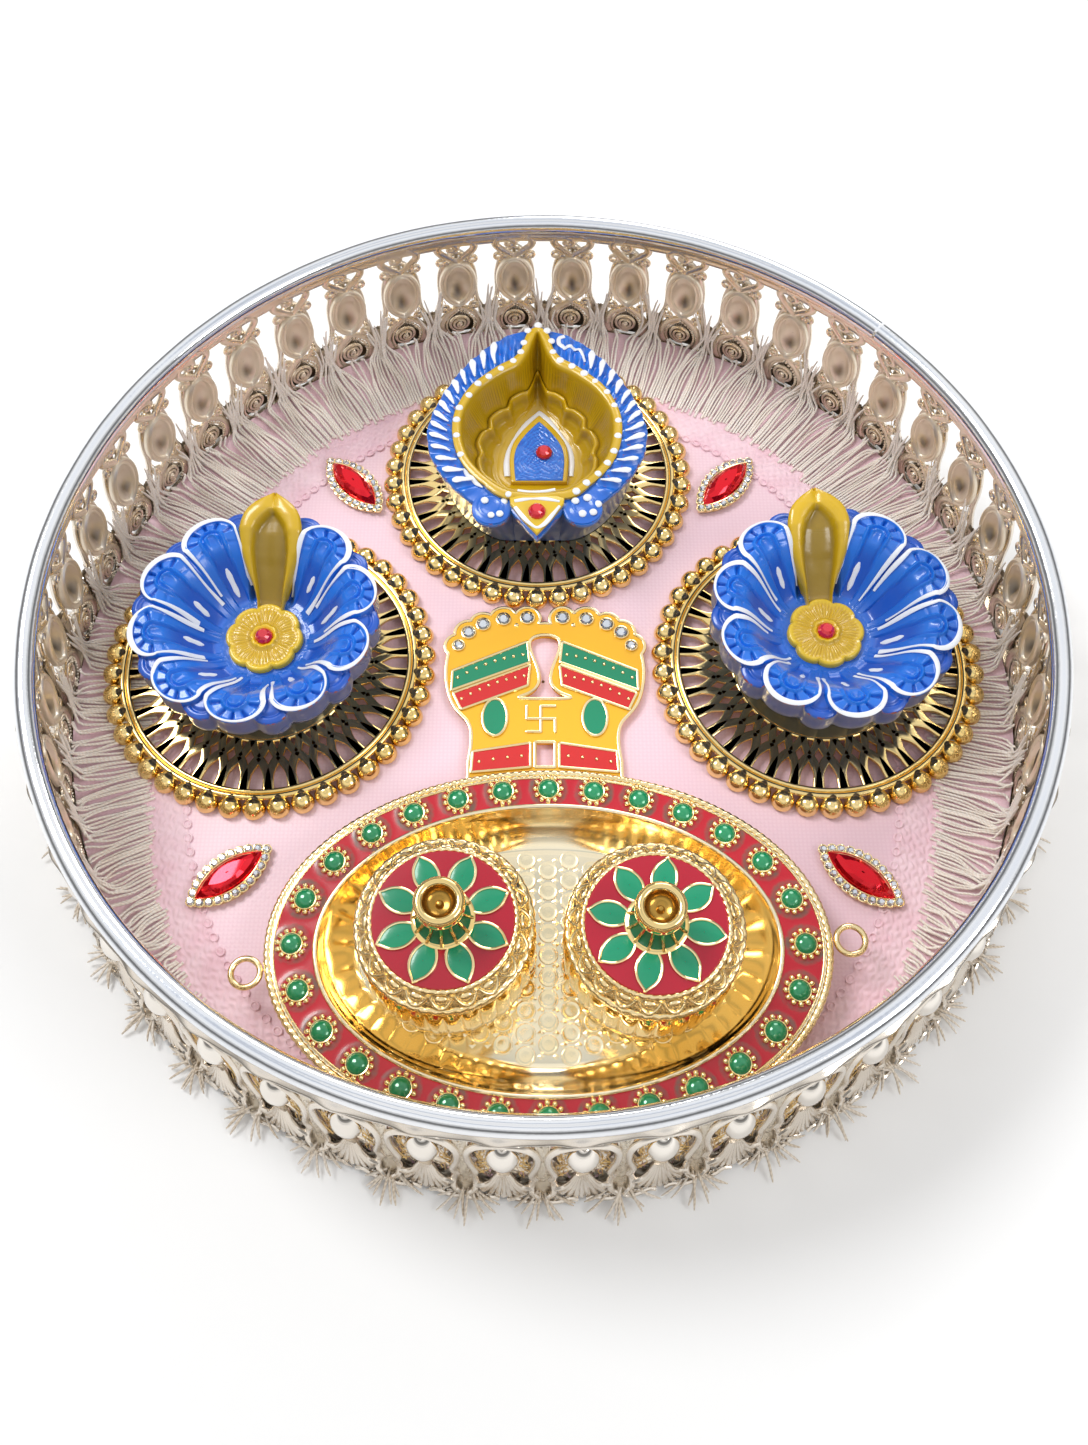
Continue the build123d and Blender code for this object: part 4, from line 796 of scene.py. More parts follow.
# %% Gold wires
wires = []
for _ in range(26):
    side = 1 if dice.random() < 0.5 else -1
    z0 = dice.uniform(21, 46)
    u0 = side * dice.uniform(4.2, 7.2)
    path = [(u0, z0, dice.uniform(2.2, 2.9)),
            (u0 + dice.uniform(-1.2, 1.2), z0 - dice.uniform(2, 5), dice.uniform(2.3, 3)),
            (side * dice.uniform(4.6, 7.4), z0 - dice.uniform(5, 9), dice.uniform(2.2, 2.9))]
    wires.append(tube(flat_line(path, 7), 0.14, 0.14, 4))
gold_wire = finish("gold_wire", (0.8, 0.55, 0.2), (0.55, 0.33, 0.1), 1, (0.25, 0.4), 900, 0.1)
wall_piece("wall_gold_wires", all_round(join(wires)), gold_wire)

# %% [markdown]
# The band under the rim is a plain strip with two soft ridges inside. Outside it ends
# in a ledge whose bright lip waves once for every motif, like the edge of a pie crust.
# %% Band and wavy ledge
BAND = [(57, 1.9), (57, 0.15), (56.2, -0.02), (55.4, 0.18), (54.9, 0.05), (53.6, 0.02), (53, 0.28), (52.5, 0.1),
        (52.2, 0.35), (52.2, 1.9)]
steps = MOTIFS * 12
angle = even_turn(steps)
rings = []
for z, out in BAND:
    drop = 0.18 * np.cos(angle * MOTIFS) * (z < 53.1)
    rings.append(polar(wall_r(z) + out + 0.05 * np.sin(angle * 31), angle, z + drop))
wall_piece("wall_band", ringed(rings), champagne)
LEDGE = [(56.4, 1.8), (56, 2.6), (55.5, 3.4), (55.35, 4.1), (55, 4.5), (54.3, 4.45), (53.6, 3.7), (53.2, 2.6),
         (53, 1.6)]
rings = []
wave = np.cos(angle * MOTIFS) + 0.35 * np.cos(2 * angle * MOTIFS + 0.7)
for k, (z, out) in enumerate(LEDGE):
    lip = math.sin(math.pi * k / (len(LEDGE) - 1))
    rings.append(polar(wall_r(z) + out + 0.42 * lip * wave, angle, z + 0.35 * lip * wave))
wall_piece("wall_ledge", ringed(rings), pearl)
print("wall arches:", len(wall_arches.data.polygons), "faces")

# %% [markdown]
# The floor is a round of pale pink satin, stretched over the board and turned over its
# edge. Satin is fine plain cloth with long floats, so its gloss is soft and its weave
# only shows close up. The sheet is one surface with a slight unevenness, as stretched
# cloth has over a board.
# %% Satin floor
FLOOR_Z, BOARD_R = 5.6, 153.4
satin_material = finish("pink_satin", (0.93, 0.69, 0.76), (0.9, 0.64, 0.72), 0, (0.38, 0.52), 120, 0.05,
                        0.0002, coat=0.12, coat_rough=0.35, sheen=0.25)
tree, shader = parts(satin_material)
weave = use_group(tree, WEAVE, Threads_per_metre=780).outputs
# Painted shade: the gaps between the weave's threads are darkened to a deeper pink.
gap_shade = spread(tree, weave["Gap"], 0.1, 0.95, 0, 0.3)
feed(shader, "Base Color", mix_colour(tree, gap_shade, fed(shader, "Base Color"), (0.8, 0.5, 0.6)))
feed(shader, "Normal", bump(tree, weave["Height"], 0.3, 0.00012, fed(shader, "Normal")))
dice = np.random.default_rng(3)
radii = np.concatenate([np.linspace(0.5, BOARD_R - 0.4, 60), [BOARD_R, BOARD_R + 0.05]])
angle = even_turn(240)
x, y = radii[:, None] * np.cos(angle), radii[:, None] * np.sin(angle)
sag = 0.035 * np.sin(x / 17 + 1) * np.sin(y / 23) + 0.02 * np.sin((x + y) / 7) - 0.05
sag[-2], sag[-1] = -0.2, -3
satin = piece("satin_floor", ringed(np.stack([x, y, FLOOR_Z + sag], 2)), satin_material, slot="pink_satin")
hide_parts("satin_cover")

# %% [markdown]
# A crocheted heading runs round the floor, and its long fringe lies out to the wall
# and stands up against it. The heading is wider set at the back than at the front. It
# is a strip whose height follows rows of loop stitches; picot loops edge it inside.
# %% Lace heading
LACE_W = 15
LACE_BACK_R, LACE_FRONT_R = BOARD_R + 0.1 - 41.6, BOARD_R + 0.1 - 13.6


def lace_r(angle):
    """Inner radius of the heading; angles in radians from +X."""
    away = np.abs((np.degrees(angle) - 90 + 180) % 360 - 180)
    t = np.clip((away - 85) / 75, 0, 1)
    return LACE_BACK_R + (LACE_FRONT_R - LACE_BACK_R) * t * t * (3 - 2 * t)


lace_material = finish("pink_lace", (0.95, 0.7, 0.77), (0.9, 0.6, 0.68), 0, (0.6, 0.75), 700, 0.3, 0.0001,
                       sheen=0.3)
COLS, ROWS = 1500, 34
angle = even_turn(COLS)
across = np.linspace(0, 1, ROWS)
inner = lace_r(angle) + 0.45 * np.cos(angle * 170)
r = inner[:, None] + across * LACE_W
stitch = angle[:, None] * 250
row = across * 9 * math.pi
loops = np.abs(np.sin(row)) ** 0.6 * (0.55 + 0.45 * np.cos(stitch + math.pi * np.floor(across * 9)))
height = 0.1 + 0.62 * loops
height[:, 0] = height[:, -1] = 0.05
height = height + 0.05 * dice.normal(0, 1, height.shape)
lace = polar(r, angle[:, None], FLOOR_Z + height)
lace_band = piece("lace_heading", flipped(grid(lace, closed_u=True)), lace_material, slot="pink_lace", sharp=80)
print("lace width", LACE_W, "mm")

# %% [markdown]
# A fringe thread is a few strands twisted together. All the threads of the fringe are
# built at once from one array of paths: each leaves the heading, lies over the floor
# with a slight wave, turns up at the wall and ends in a free tip that leans into the
# gaps between the motifs. Numbers kept on the points carry the twist to the material.
# %% Fringe threads
def threads(paths, radius, sides=5):
    """Many threads at once. paths is threads by points by three; returns shape and values."""
    paths = np.asarray(paths, float)
    count, steps = paths.shape[:2]
    along = np.gradient(paths, axis=1)
    along /= np.linalg.norm(along, axis=2)[..., None] + 1e-9
    out = paths[:, :, :2].mean(1)
    side = np.stack([-out[:, 1], out[:, 0], np.zeros(count)], 1)
    side /= np.linalg.norm(side, axis=1)[:, None]
    side = side[:, None] - along * (along * side[:, None]).sum(2)[..., None]
    side /= np.linalg.norm(side, axis=2)[..., None] + 1e-9
    top = np.cross(side, along)
    phi = even_turn(sides)
    width = np.broadcast_to(radius, (count,))[:, None] * swell(steps, [0, 0.9, 1], [1, 1, 0.5])
    ring = (paths[:, :, None] + side[:, :, None] * (np.cos(phi) * width[..., None])[..., None]
            + top[:, :, None] * (np.sin(phi) * width[..., None])[..., None])
    skin = np.roll(flipped(ringed(ring[0]))[1], 1, 1)
    far_cap = (steps - 1) * sides + np.array([[0, 1, 2, 3], [0, 3, 4, 4]])
    one = np.concatenate([skin, [[3, 2, 1, 0], [4, 3, 0, 0]], far_cap])
    quads = (one + (np.arange(count) * steps * sides)[:, None, None]).reshape(-1, 4)
    walked = np.cumsum(np.linalg.norm(np.diff(paths, axis=1), axis=2), 1)
    values = {"along": np.concatenate([np.zeros((count, 1)), walked], 1)[..., None], "round_x": np.cos(phi),
              "round_y": np.sin(phi), "shade": dice.uniform(0, 1, count)[:, None, None]}
    values = {key: np.broadcast_to(value, ring.shape[:3]).ravel() for key, value in values.items()}
    return (ring.reshape(-1, 3), quads), values


def thread_finish(name, shade, tint, deep):
    material = finish(name, shade, tint, 0, (0.3, 0.42), 900, 0.1, 0.0001, sheen=0.7)
    tree, shader = parts(material)
    twist = use_group(tree, TWIST, Turns_per_mm=0.75).outputs["Height"]
    # Painted shade: the grooves between the twisted strands darken toward the last colour given.
    colour = mix_colour(tree, spread(tree, twist, -1, 1, 0, 0.55), fed(shader, "Base Color"), deep)
    lighter = spread(tree, kept(tree, "shade"), 0, 1, 0, 0.35)
    feed(shader, "Base Color", mix_colour(tree, lighter, colour, (1, 0.95, 0.88)))
    feed(shader, "Normal", bump(tree, twist, 0.5, 0.0001, fed(shader, "Normal")))
    return material


thread_material = thread_finish("champagne_thread", (1, 0.95, 0.89), (0.98, 0.9, 0.82), (0.88, 0.72, 0.6))
end_material = thread_finish("fringe_end_thread", (0.78, 0.68, 0.55), (0.68, 0.57, 0.44), (0.42, 0.32, 0.22))
print("threads:", thread_material.name, end_material.name)

# %% Paths of the fringe
dice = np.random.default_rng(17)
THREADS, POINTS, WALL_FOOT_R = 760, 20, 152.2
start = TAU * (np.arange(THREADS) + dice.uniform(-0.3, 0.3, THREADS)) / THREADS
motif = math.radians(PITCH)
gap_at = (np.floor(start / motif) + 0.5) * motif
offset = (start - gap_at) / (motif / 2)
riser = np.abs(offset) < dice.uniform(0.55, 0.95, THREADS)
pull = np.where(riser, dice.uniform(0.7, 0.88, THREADS), dice.uniform(0, 0.35, THREADS))
tip_z = np.where(riser, dice.uniform(15, 28, THREADS) + 8 * dice.uniform(0, 1, THREADS) ** 2,
                 dice.uniform(6.2, 9.5, THREADS))
splay = dice.uniform(-1, 1, THREADS) * 0.03
s = np.linspace(0, 1, POINTS)
r_in = lace_r(start) + LACE_W - dice.uniform(1, 4.5, THREADS)
reach = WALL_FOOT_R - dice.uniform(0, 3.4, THREADS)
flat_length = reach - r_in
lift = dice.uniform(0, 1.5, THREADS) ** 2
paths = np.zeros((THREADS, POINTS, 3))
bend = 0.62
for n, at in enumerate(s):
    low = min(1, at / bend)
    high = max(0, (at - bend) / (1 - bend))
    loose = math.sin(math.pi * min(1, low * 0.9)) ** 2
    z = 6.35 + 0.35 * np.sin(start * 97 + low * 5) * low + 0.5 * low ** 3 + lift * loose * 0.55
    z = z + (tip_z - z) * high ** 1.15
    r = r_in + flat_length * low
    wall = wall_r(z) - 0.85 - 0.9 * np.sin(start * 61) ** 2 * (1 - high)
    r = np.where(high > 0, reach + (wall - reach) * min(1, high * 3), r)
    r = np.minimum(r, wall_r(z) - 0.7)
    wave = 0.004 * np.sin(start * 53 + 6.5 * at) + 0.003 * np.sin(start * 131 - 9 * at)
    draw = pull * (0.3 * max(0, low - 0.55) / 0.45 + 0.7 * min(1, high * 2.5) ** 0.8)
    turn = start + wave * low * (1 - 0.8 * high) + (gap_at - start) * draw + splay * high ** 1.6 * riser
    paths[:, n] = np.stack([r * np.cos(turn), r * np.sin(turn), z], 1)
shape, values = threads(paths, dice.uniform(0.38, 0.52, THREADS))
fringe = piece("fringe_threads", shape, thread_material, slot="champagne_thread", sharp=80, values=values)
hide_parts("fringe_skirt", "lace_band")

# %% [markdown]
# Where the fringe passes under the wall it comes out at the foot of each column as a
# small fan of stiff ends. They are the same threads, shorter and spread wide.
# %% Tufts and picot loops
TUFT_ROOT_R, TUFT_REACH_R = 156.6, 168.5
ends = []
f = np.linspace(0, 1, 7)
for k in range(MOTIFS):
    count = dice.integers(9, 13)
    for lean in np.linspace(-1.05, 1.05, count) + dice.uniform(-0.1, 0.1, count):
        long = dice.uniform(8, 12) * (1 - 0.1 * abs(lean))
        x = TUFT_ROOT_R + dice.uniform(0, 0.6)
        y = dice.uniform(-1.7, 1.7) + 1.2 * lean
        z = dice.uniform(1.6, 3.6)
        bow = lean * (0.75 + 0.35 * f)
        line = np.stack([np.minimum(x + long * f * np.cos(bow), TUFT_REACH_R), y + long * f * np.sin(bow),
                         z + 0.9 * np.sin(2.6 * f) - (z + 0.2) * 0.62 * f ** 2], 1)
        ends.append(moved((line, None), turn=(k + 0.5) * PITCH)[0])
shape, values = threads(ends, dice.uniform(0.36, 0.44, len(ends)))
tufts = piece("fringe_end_tufts", shape, end_material, slot="champagne_thread", sharp=80, values=values)
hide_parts("fringe_tufts")

PICOTS = 170
picots = []
for k in range(PICOTS):
    a = TAU * (k + 0.5) / PICOTS
    r0 = float(lace_r(np.array(a))) + 0.5
    ring = [(r0 + 0.2 - 1.15 * math.cos(t), 1.35 * math.sin(t), FLOOR_Z + 0.45) for t in even_turn(10)]
    picots.append(moved(tube(ring, 0.33, 0.33, 6, closed=True), turn=math.degrees(a)))
piece("lace_picot_edge", join(picots), lace_material, slot="pink_lace")
print("threads:", THREADS, "ends:", len(ends))

# %% [markdown]
# Each lamp stands on a gold disc with a beaded rim. The real one is a thin casting:
# polished beads outside, a double line, a lattice of pointed arches and small kite
# windows, and a plain disc in the middle. The lattice is drawn as bars swept along
# its lines, so the satin shows through real openings.
# %% Lamp stands
STAND_PLACES = {"left": (-90.3, 5.5), "right": (90.7, 6), "back": (-2, 82)}
STAND_Z, BEAD_RING_R, BEAD_R, BEADS, ARCHES = 9, 51.2, 3.75, 42, 36
bead = join([ball(BEAD_R, BEAD_RING_R, 0, STAND_Z - 2.3, 20, 9, 1.05, 0.5),
             moved(turned([(BEAD_R, 0), (BEAD_R - 0.3, -0.8), (0.2, -0.9)], 20), BEAD_RING_R, 0,
                   STAND_Z - 2.3)])
beads = around(bead, BEADS, 4)


def ring_bar(radius, wide, high, z, sides=10, steps=160):
    return tube(round_path(radius, z, steps), wide, high, sides, True)


def polar_line(points, count, z):
    return raised(smooth_line([(r * math.cos(math.radians(a)), r * math.sin(math.radians(a)))
                               for r, a in points], count), z)


lattice = [ring_bar(48, 1.05, 0.85, STAND_Z - 0.35), ring_bar(46.2, 0.85, 0.8, STAND_Z - 0.3),
           ring_bar(47.1, 1.7, 0.55, STAND_Z - 0.9), ring_bar(28.3, 0.9, 0.6, STAND_Z - 0.5)]
bars = []
for sign in (-1, 1):
    side_bar = polar_line([(46.3, sign * 5), (43, sign * 4.85), (40, sign * 4.4), (37.2, sign * 2.7),
                           (34.6, 0)], 12, STAND_Z - 0.5)
    bars.append(tube(side_bar, swell(12, [0, 0.4, 1], [1.9, 1.45, 1.5]), 0.7, 12, square=0.3))
    kite = polar_line([(34.8, 0), (31.6, sign * 2.8), (28.6, sign * 5)], 6, STAND_Z - 0.52)
    bars.append(tube(kite, 1.35, 0.62, 12, square=0.3))
lattice.append(around(join(bars), ARCHES))
disc = turned([(28.6, STAND_Z - 0.9), (28.2, STAND_Z + 0.22), (27.4, STAND_Z + 0.36), (24, STAND_Z + 0.3),
               (0.2, STAND_Z + 0.3)], 96)
under = turned([(0.2, STAND_Z - 1.1), (28.6, STAND_Z - 0.9)], 96)
foot_ring = turned([(16.2, STAND_Z - 1), (16.2, FLOOR_Z), (19, FLOOR_Z), (19, STAND_Z - 1)], 72)
lattice += [disc, under, foot_ring]
# Painted shade: a small near-black dome just inside each bead stands in for the shadow in a small hole of the
# casting.
pit = around(ball(1.15, BEAD_RING_R - 2.2, 0.3, STAND_Z + 0.42, 12, 5, 0.5, 0.5), BEADS, 4)
for side, (x, y) in STAND_PLACES.items():
    piece("stand_beads_" + side, moved(beads, x, y), gold, slot="stand_gold")
    open_work = piece("stand_lattice_" + side, moved(join(lattice), x, y), gold, slot="stand_gold")
    piece("stand_pit_shade_" + side, moved(pit, x, y), shade_dark, slot="stand_gold")
    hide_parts("stand_" + side)

# %% [markdown]
# The two flower lamps are moulded clay, painted glossy blue. Nine tongue-shaped petals
# and one leaf spout stand ten to the turn, with a lower lobe behind every gap. A bowl
# with this much relief is easiest as a height over a ring of angles: one function gives
# the height at any place, and the painted lines can ask it where the surface is.
# %% Flower lamp surface
LAMP_Z = 9.4
PETAL_STEP, EYE_R, PETAL_HALF, PETAL_SPREAD = 36, 31.2, 7.4, 0.29
WELL_R, WELL_Z, BOWL_R, BOWL_Z = 13.5, 9.4, 31.5, 27.6


def soft_step(value, low, high):
    t = np.clip((value - low) / (high - low), 0, 1)
    return t * t * (3 - 2 * t)


def hump(value, middle, width):
    return np.exp(-((value - middle) / width) ** 2)


def bowl_z(r):
    """Smooth bowl from the well to the rim, without its petals."""
    t = np.clip((r - WELL_R) / (BOWL_R - WELL_R), 0, 1)
    return WELL_Z + (BOWL_Z - WELL_Z) * (t - 0.1 * np.sin(TAU * t) / 1.6) - 0.12 * np.clip(r - BOWL_R, 0, 9)


def petal_place(r, phi):
    """Where a point lies in its nearest petal: 0 at the eye's middle, 1 at the outline."""
    step = math.radians(PETAL_STEP)
    away = (phi - math.pi / 2 + step / 2) % step - step / 2
    w = r * np.sin(away)
    ahead = np.clip(r * np.cos(away) - EYE_R, 0, None)
    half = np.minimum(r, EYE_R) * PETAL_SPREAD
    return np.hypot(w / half, ahead / PETAL_HALF), ahead, np.arctan2(w, r * np.cos(away) - EYE_R)


def lobe_place(r, phi):
    step = math.radians(PETAL_STEP)
    away = (phi - math.pi / 2) % step - step / 2
    return np.hypot(r * np.sin(away) / 7, (r * np.cos(away) - 31) / 7.9)


def petal_fan(r, phi):
    """Narrow grooves that fan out round a petal's eye, from 0 to 1."""
    q, ahead, psi = petal_place(r, phi)
    zone = soft_step(q, 0.47, 0.52) * (1 - soft_step(q, 0.82, 0.88))
    zone = zone * soft_step(ahead + (r - EYE_R + 4), 0.5, 4)
    return np.clip(np.cos(psi * 9), 0, 1) ** 3 * zone


def flower_z(r, phi):
    """Height of the painted clay over the lamp's base."""
    q = petal_place(r, phi)[0]
    base = bowl_z(r)
    tongue = 0.95 * hump(q, 0.93, 0.07) * (0.35 + 0.65 * soft_step(r, 22, 30)) - 0.25
    tongue = tongue - petal_fan(r, phi)
    eye = soft_step(r, 22.5, 26.5)
    tongue = tongue + eye * (0.95 * hump(q, 0.4, 0.05) - 0.35 * hump(q, 0.3, 0.05))
    front = soft_step(r, EYE_R - 3, EYE_R + 0.5)
    tongue = tongue + front * (0.75 * hump(q, 0.21, 0.05) - 0.55 * (q < 0.17) * (1 - (q / 0.17) ** 2))
    channel = (1 - soft_step(q, 0.38, 0.52)) * (1 - soft_step(r, 24, 29))
    tongue = tongue - 1.15 * channel * soft_step(r, 14, 17)
    t = lobe_place(r, phi)
    low_lobe = 25 + 1.3 * np.sqrt(np.clip(1 - t * t, 0, 1)) - 0.55 * hump(t, 0.7, 0.07)
    inside = 1 - soft_step(q, 0.985, 1.045)
    groove = base - 0.9 * soft_step(r, 14, 20)
    gap = np.where(r > 27, np.minimum(low_lobe, groove), groove)
    z = np.where(r < 14, base, inside * (base + tongue) + (1 - inside) * gap)
    under_leaf = np.abs((phi - math.pi / 2 + math.pi) % TAU - math.pi) * r
    seat = (1 - soft_step(under_leaf, 6, 8)) * soft_step(r, 14, 18)
    return z - seat * (z - (base - 3.2))


def flower_rim(phi):
    """Outline of the lamp: the farther of the petal's and the lobe's edge."""
    radii = np.linspace(28, 40, 500)
    inside = (petal_place(radii[:, None], phi)[0] < 1) | (lobe_place(radii[:, None], phi) < 1)
    return radii[len(radii) - 1 - np.argmax(inside[::-1], axis=0)]


print("bowl from", WELL_Z, "to", BOWL_Z, "mm high")

# %% Flower lamp body
STEPS = 720
phi = even_turn(STEPS)
rim = flower_rim(phi)
rim = sum(np.roll(rim, k) * share for k, share in zip((-2, -1, 0, 1, 2), np.array([1, 2, 3, 2, 1]) / 9))
share = np.concatenate([np.linspace(0.01, 0.34, 7), np.linspace(0.355, 0.66, 34),
                        np.linspace(0.668, 0.992, 66)])
top_r = share[:, None] * rim
edge_z = flower_z(rim * 0.985, phi)
rings = [(top_r, flower_z(top_r, np.broadcast_to(phi, top_r.shape)))]
rings += [(rim * grow, edge_z - drop) for grow, drop in ((1, 0.25), (1.006, 0.8), (1, 1.6))]
waist = rim.mean() * 0.965
for f in np.linspace(0.1, 1, 14):
    shrink = 1 - 0.26 * max(0, (f - 0.3) / 0.7) ** 0.8
    soft_rim = waist + (rim - waist) * (1 - 0.45 * max(0, f - 0.2))
    rings.append((soft_rim * shrink, (edge_z - 1.6) * (1 - f)))
rings += [(rim * 0.7, 0), (rim * 0.01, 0)]
lamp_r, lamp_z = ring_rows(rings)
lamp_body = ringed(polar(lamp_r, phi, lamp_z))
top_rows = len(share)
side_mask = np.zeros(lamp_r.shape)
side_mask[top_rows + 1] = 0.5
side_mask[top_rows + 2:] = 1
seen_top = side_mask == 0
lamp_phi = np.broadcast_to(phi, lamp_r.shape)
chip = np.zeros(lamp_r.shape)
chip[top_rows - 1:top_rows + 4] = [[0.55], [0.9], [1], [0.6], [0.25]]
chip = np.maximum(chip, 0.5 * hump(petal_place(lamp_r, lamp_phi)[0], 1.02, 0.03) * (lamp_r > 29) * seen_top)
# Painted shade: the paint darkens where the surface dips below the smooth bowl, in the grooves round each
# petal's eye, and toward the well.
deep = np.clip((bowl_z(np.clip(lamp_r, 0, 33)) - lamp_z) / 1.4, 0, 1)
deep = np.maximum(deep, 0.9 * petal_fan(lamp_r, lamp_phi))
deep = np.maximum(deep, 0.55 * (1 - soft_step(lamp_r, 18, 30))) * seen_top
print("flower lamp", len(lamp_body[0]), "points, rim", round(rim.max(), 1), "mm")

# %% [markdown]
# The paint is a glossy blue, darkened in its grooves and hollows as painted shade, and it
# has chipped to red clay along the edges. Masks kept on the points say where the shaded
# grooves, the edges and the sides are, and noise breaks them up, so that no chip has a straight border.
# %% Painted clay
CLAY_RED = (0.32, 0.075, 0.035)


def clay_finish(name, shade, hollow_shade_colour, side_shade):
    material = finish(name, shade, tuple(0.82 * c for c in shade), 0, (0.22, 0.38), 150, 0.25, 0.0003,
                      coat=0.55, coat_rough=0.12)
    tree, shader = parts(material)
    place = add(tree, "ShaderNodeTexCoord").outputs["Object"]
    # Painted shade: the hollows mask darkens the paint toward its dark colour.
    colour = mix_colour(tree, kept(tree, "deep"), fed(shader, "Base Color"), hollow_shade_colour)
    colour = mix_colour(tree, kept(tree, "side"), colour, side_shade)
    chipped = math_node(tree, "MULTIPLY", kept(tree, "chip"), noise_node(tree, place, 420, 4, 0.7))
    feed(shader, "Base Color", mix_colour(tree, spread(tree, chipped, 0.47, 0.54), colour, CLAY_RED))
    brush = noise_node(tree, place, 60, 5, 0.7)
    feed(shader, "Normal", bump(tree, brush, 0.35, 0.0006, fed(shader, "Normal")))
    return material


blue_paint = clay_finish("blue_clay_paint", (0.012, 0.2, 0.8), (0.003, 0.085, 0.5), (0.06, 0.115, 0.36))
ochre_paint = clay_finish("ochre_clay_paint", (0.7, 0.44, 0.006), (0.3, 0.185, 0.004), (0.52, 0.27, 0.006))
yellow_paint = clay_finish("yellow_clay_paint", (0.84, 0.56, 0.012), (0.46, 0.25, 0.004), (0.66, 0.36, 0.008))
white_paint = finish("white_paint", (0.88, 0.89, 0.92), (0.78, 0.82, 0.88), 0, (0.3, 0.45), 200, 0.2, 0.0002,
                     coat=0.3)


print("paints:", [m.name for m in (blue_paint, ochre_paint, yellow_paint, white_paint)])

# %% Spout leaf
def spout_shape():
    """Pointed leaf for the wick, with a thick border and a channel into the bowl."""
    ys = np.array([9, 11, 13, 15, 17, 19, 21.5, 24, 27, 30, 32.5, 35, 37, 38.8, 40.2, 41.4, 42.2, 42.7])
    half = np.interp(ys, [9, 13, 16, 20, 25, 30, 34, 37, 39, 41, 42.2, 42.7],
                     [4.1, 4.5, 5.3, 7.6, 9.7, 10.2, 9.7, 8, 6.2, 3.6, 1.6, 0.5])
    crest = np.interp(ys, [9, 13, 16, 20, 25, 30, 36, 40, 42.7],
                      [10.9, 13.2, 16.2, 20.4, 25.2, 29, 30.9, 31.1, 30.6])
    knots = np.linspace(0, 1, len(ys))
    ys, half, crest = (swell(76, knots, a) for a in (ys, half, crest))
    v = np.linspace(-1, 1, 45)
    open_w = np.interp(ys, [9, 16, 20, 25, 29, 32, 34.5, 36.2, 36.9],
                       [3.3, 4.1, 4.9, 5.5, 5.2, 4.1, 2.3, 0.8, 0])
    border = 1 - open_w / half
    edge = np.abs(v)
    inner = 1 - border[:, None]
    into = soft_step(edge, inner - 0.1, inner + 0.1)
    close = soft_step(ys, 36, 37)[:, None]
    trough = (1 - into) * (1 - close)
    depth = np.interp(ys, [9, 16, 22, 34, 39], [0.5, 1.7, 2.6, 2.6, 2])[:, None]
    roll = 0.9 * (1 - ((edge - (inner + 1) / 2) / (border[:, None] / 2)) ** 2).clip(0, 1) * into
    z = crest[:, None] - depth * trough + roll - 0.9 - 0.5 * soft_step(edge, 0.93, 1)
    z = z + 0.25 * trough * np.sin(v * 9) * soft_step(ys, 18, 24)[:, None]
    x = v * half[:, None]
    top = np.stack([x, np.broadcast_to(ys[:, None], x.shape), z], 2)
    skirts = []
    for sign, column in ((-1, 0), (1, -1)):
        line = top[:, column]
        low = np.stack([line[:, 0] * 0.9, np.minimum(line[:, 1], 41) - 0.3,
                        np.minimum(line[:, 2] - 2, crest - 7.5)], 1)
        skirt = grid(np.stack([line, line - [0, 0, 0.9], low], 1))
        skirts.append(skirt if sign < 0 else flipped(skirt))
    tip = top[-1]
    low = np.stack([tip[:, 0] * 0.5, tip[:, 1] - 1.8, tip[:, 2] - 7], 1)
    front = grid(np.stack([tip, tip - [0, 0, 0.9], low], 1))
    # Painted shade: the spout's channel is darkened.
    spout_shade_mask = np.concatenate([trough.ravel()] + [np.zeros(len(s[0])) for s in skirts + [front]])
    return join([flipped(grid(top))] + skirts + [front]), spout_shade_mask


spout, spout_shade = spout_shape()
print("spout:", len(spout[0]), "points")

# %% Blossom and cut stones
def blossom_shape():
    """Eight-lobed blossom with fine radial lines and a raised collar."""
    a = even_turn(192)
    edge = 12.5 * (0.9 + 0.1 * np.abs(np.cos(4 * a)) ** 0.6)
    f = np.array([0.01, 0.12, 0.22, 0.25, 0.28, 0.33, 0.37, 0.4, 0.46, 0.52, 0.58, 0.64, 0.7, 0.76, 0.82,
                  0.88, 0.93, 0.97, 1, 1])
    r = f[:, None] * edge
    lines = np.abs(np.sin(28 * a))
    z = 11.15 + hump(f, 0.31, 0.055)[:, None] + 0.45 * hump(f, 0.92, 0.05)[:, None]
    lined = (soft_step(f, 0.38, 0.46) * (1 - soft_step(f, 0.84, 0.9)))[:, None]
    z = z - 0.28 * lines * lined
    z = z + 0.5 * hump(f, 0.66, 0.14)[:, None] * np.abs(np.cos(4 * a))
    z[-2] -= 0.35
    z[-1] = 9
    # Painted shade: the blossom's fine lines and the groove inside its collar are darkened.
    grooves = np.maximum(0.8 * lines * lined, 0.8 * hump(f, 0.39, 0.03)[:, None])
    return ringed(polar(r, a, z)), np.broadcast_to(grooves, r.shape).ravel()


def cut_stone(radius, high, sides, table=0.52, crown=(0.8, 0.72), girdle=(1, 0.35)):
    """Round cut stone: a flat table, a band of crown facets and a girdle."""
    rows = [(0.02, high, 0), (table, high, 0), (crown[0], high * crown[1], 0.5),
            (girdle[0], high * girdle[1], 0), (1, 0, 0)]
    return ringed([polar(radius * f, even_turn(sides) + s * TAU / sides, z) for f, z, s in rows])


red_glass = finish("red_stone_glass", (0.55, 0.005, 0.018), (0.75, 0.012, 0.03), 0.25, (0.03, 0.08), 100, 0.02,
                   coat=1, coat_rough=0.02)
blossom, blossom_shade = blossom_shape()
print("blossom:", len(blossom[0]), "points")

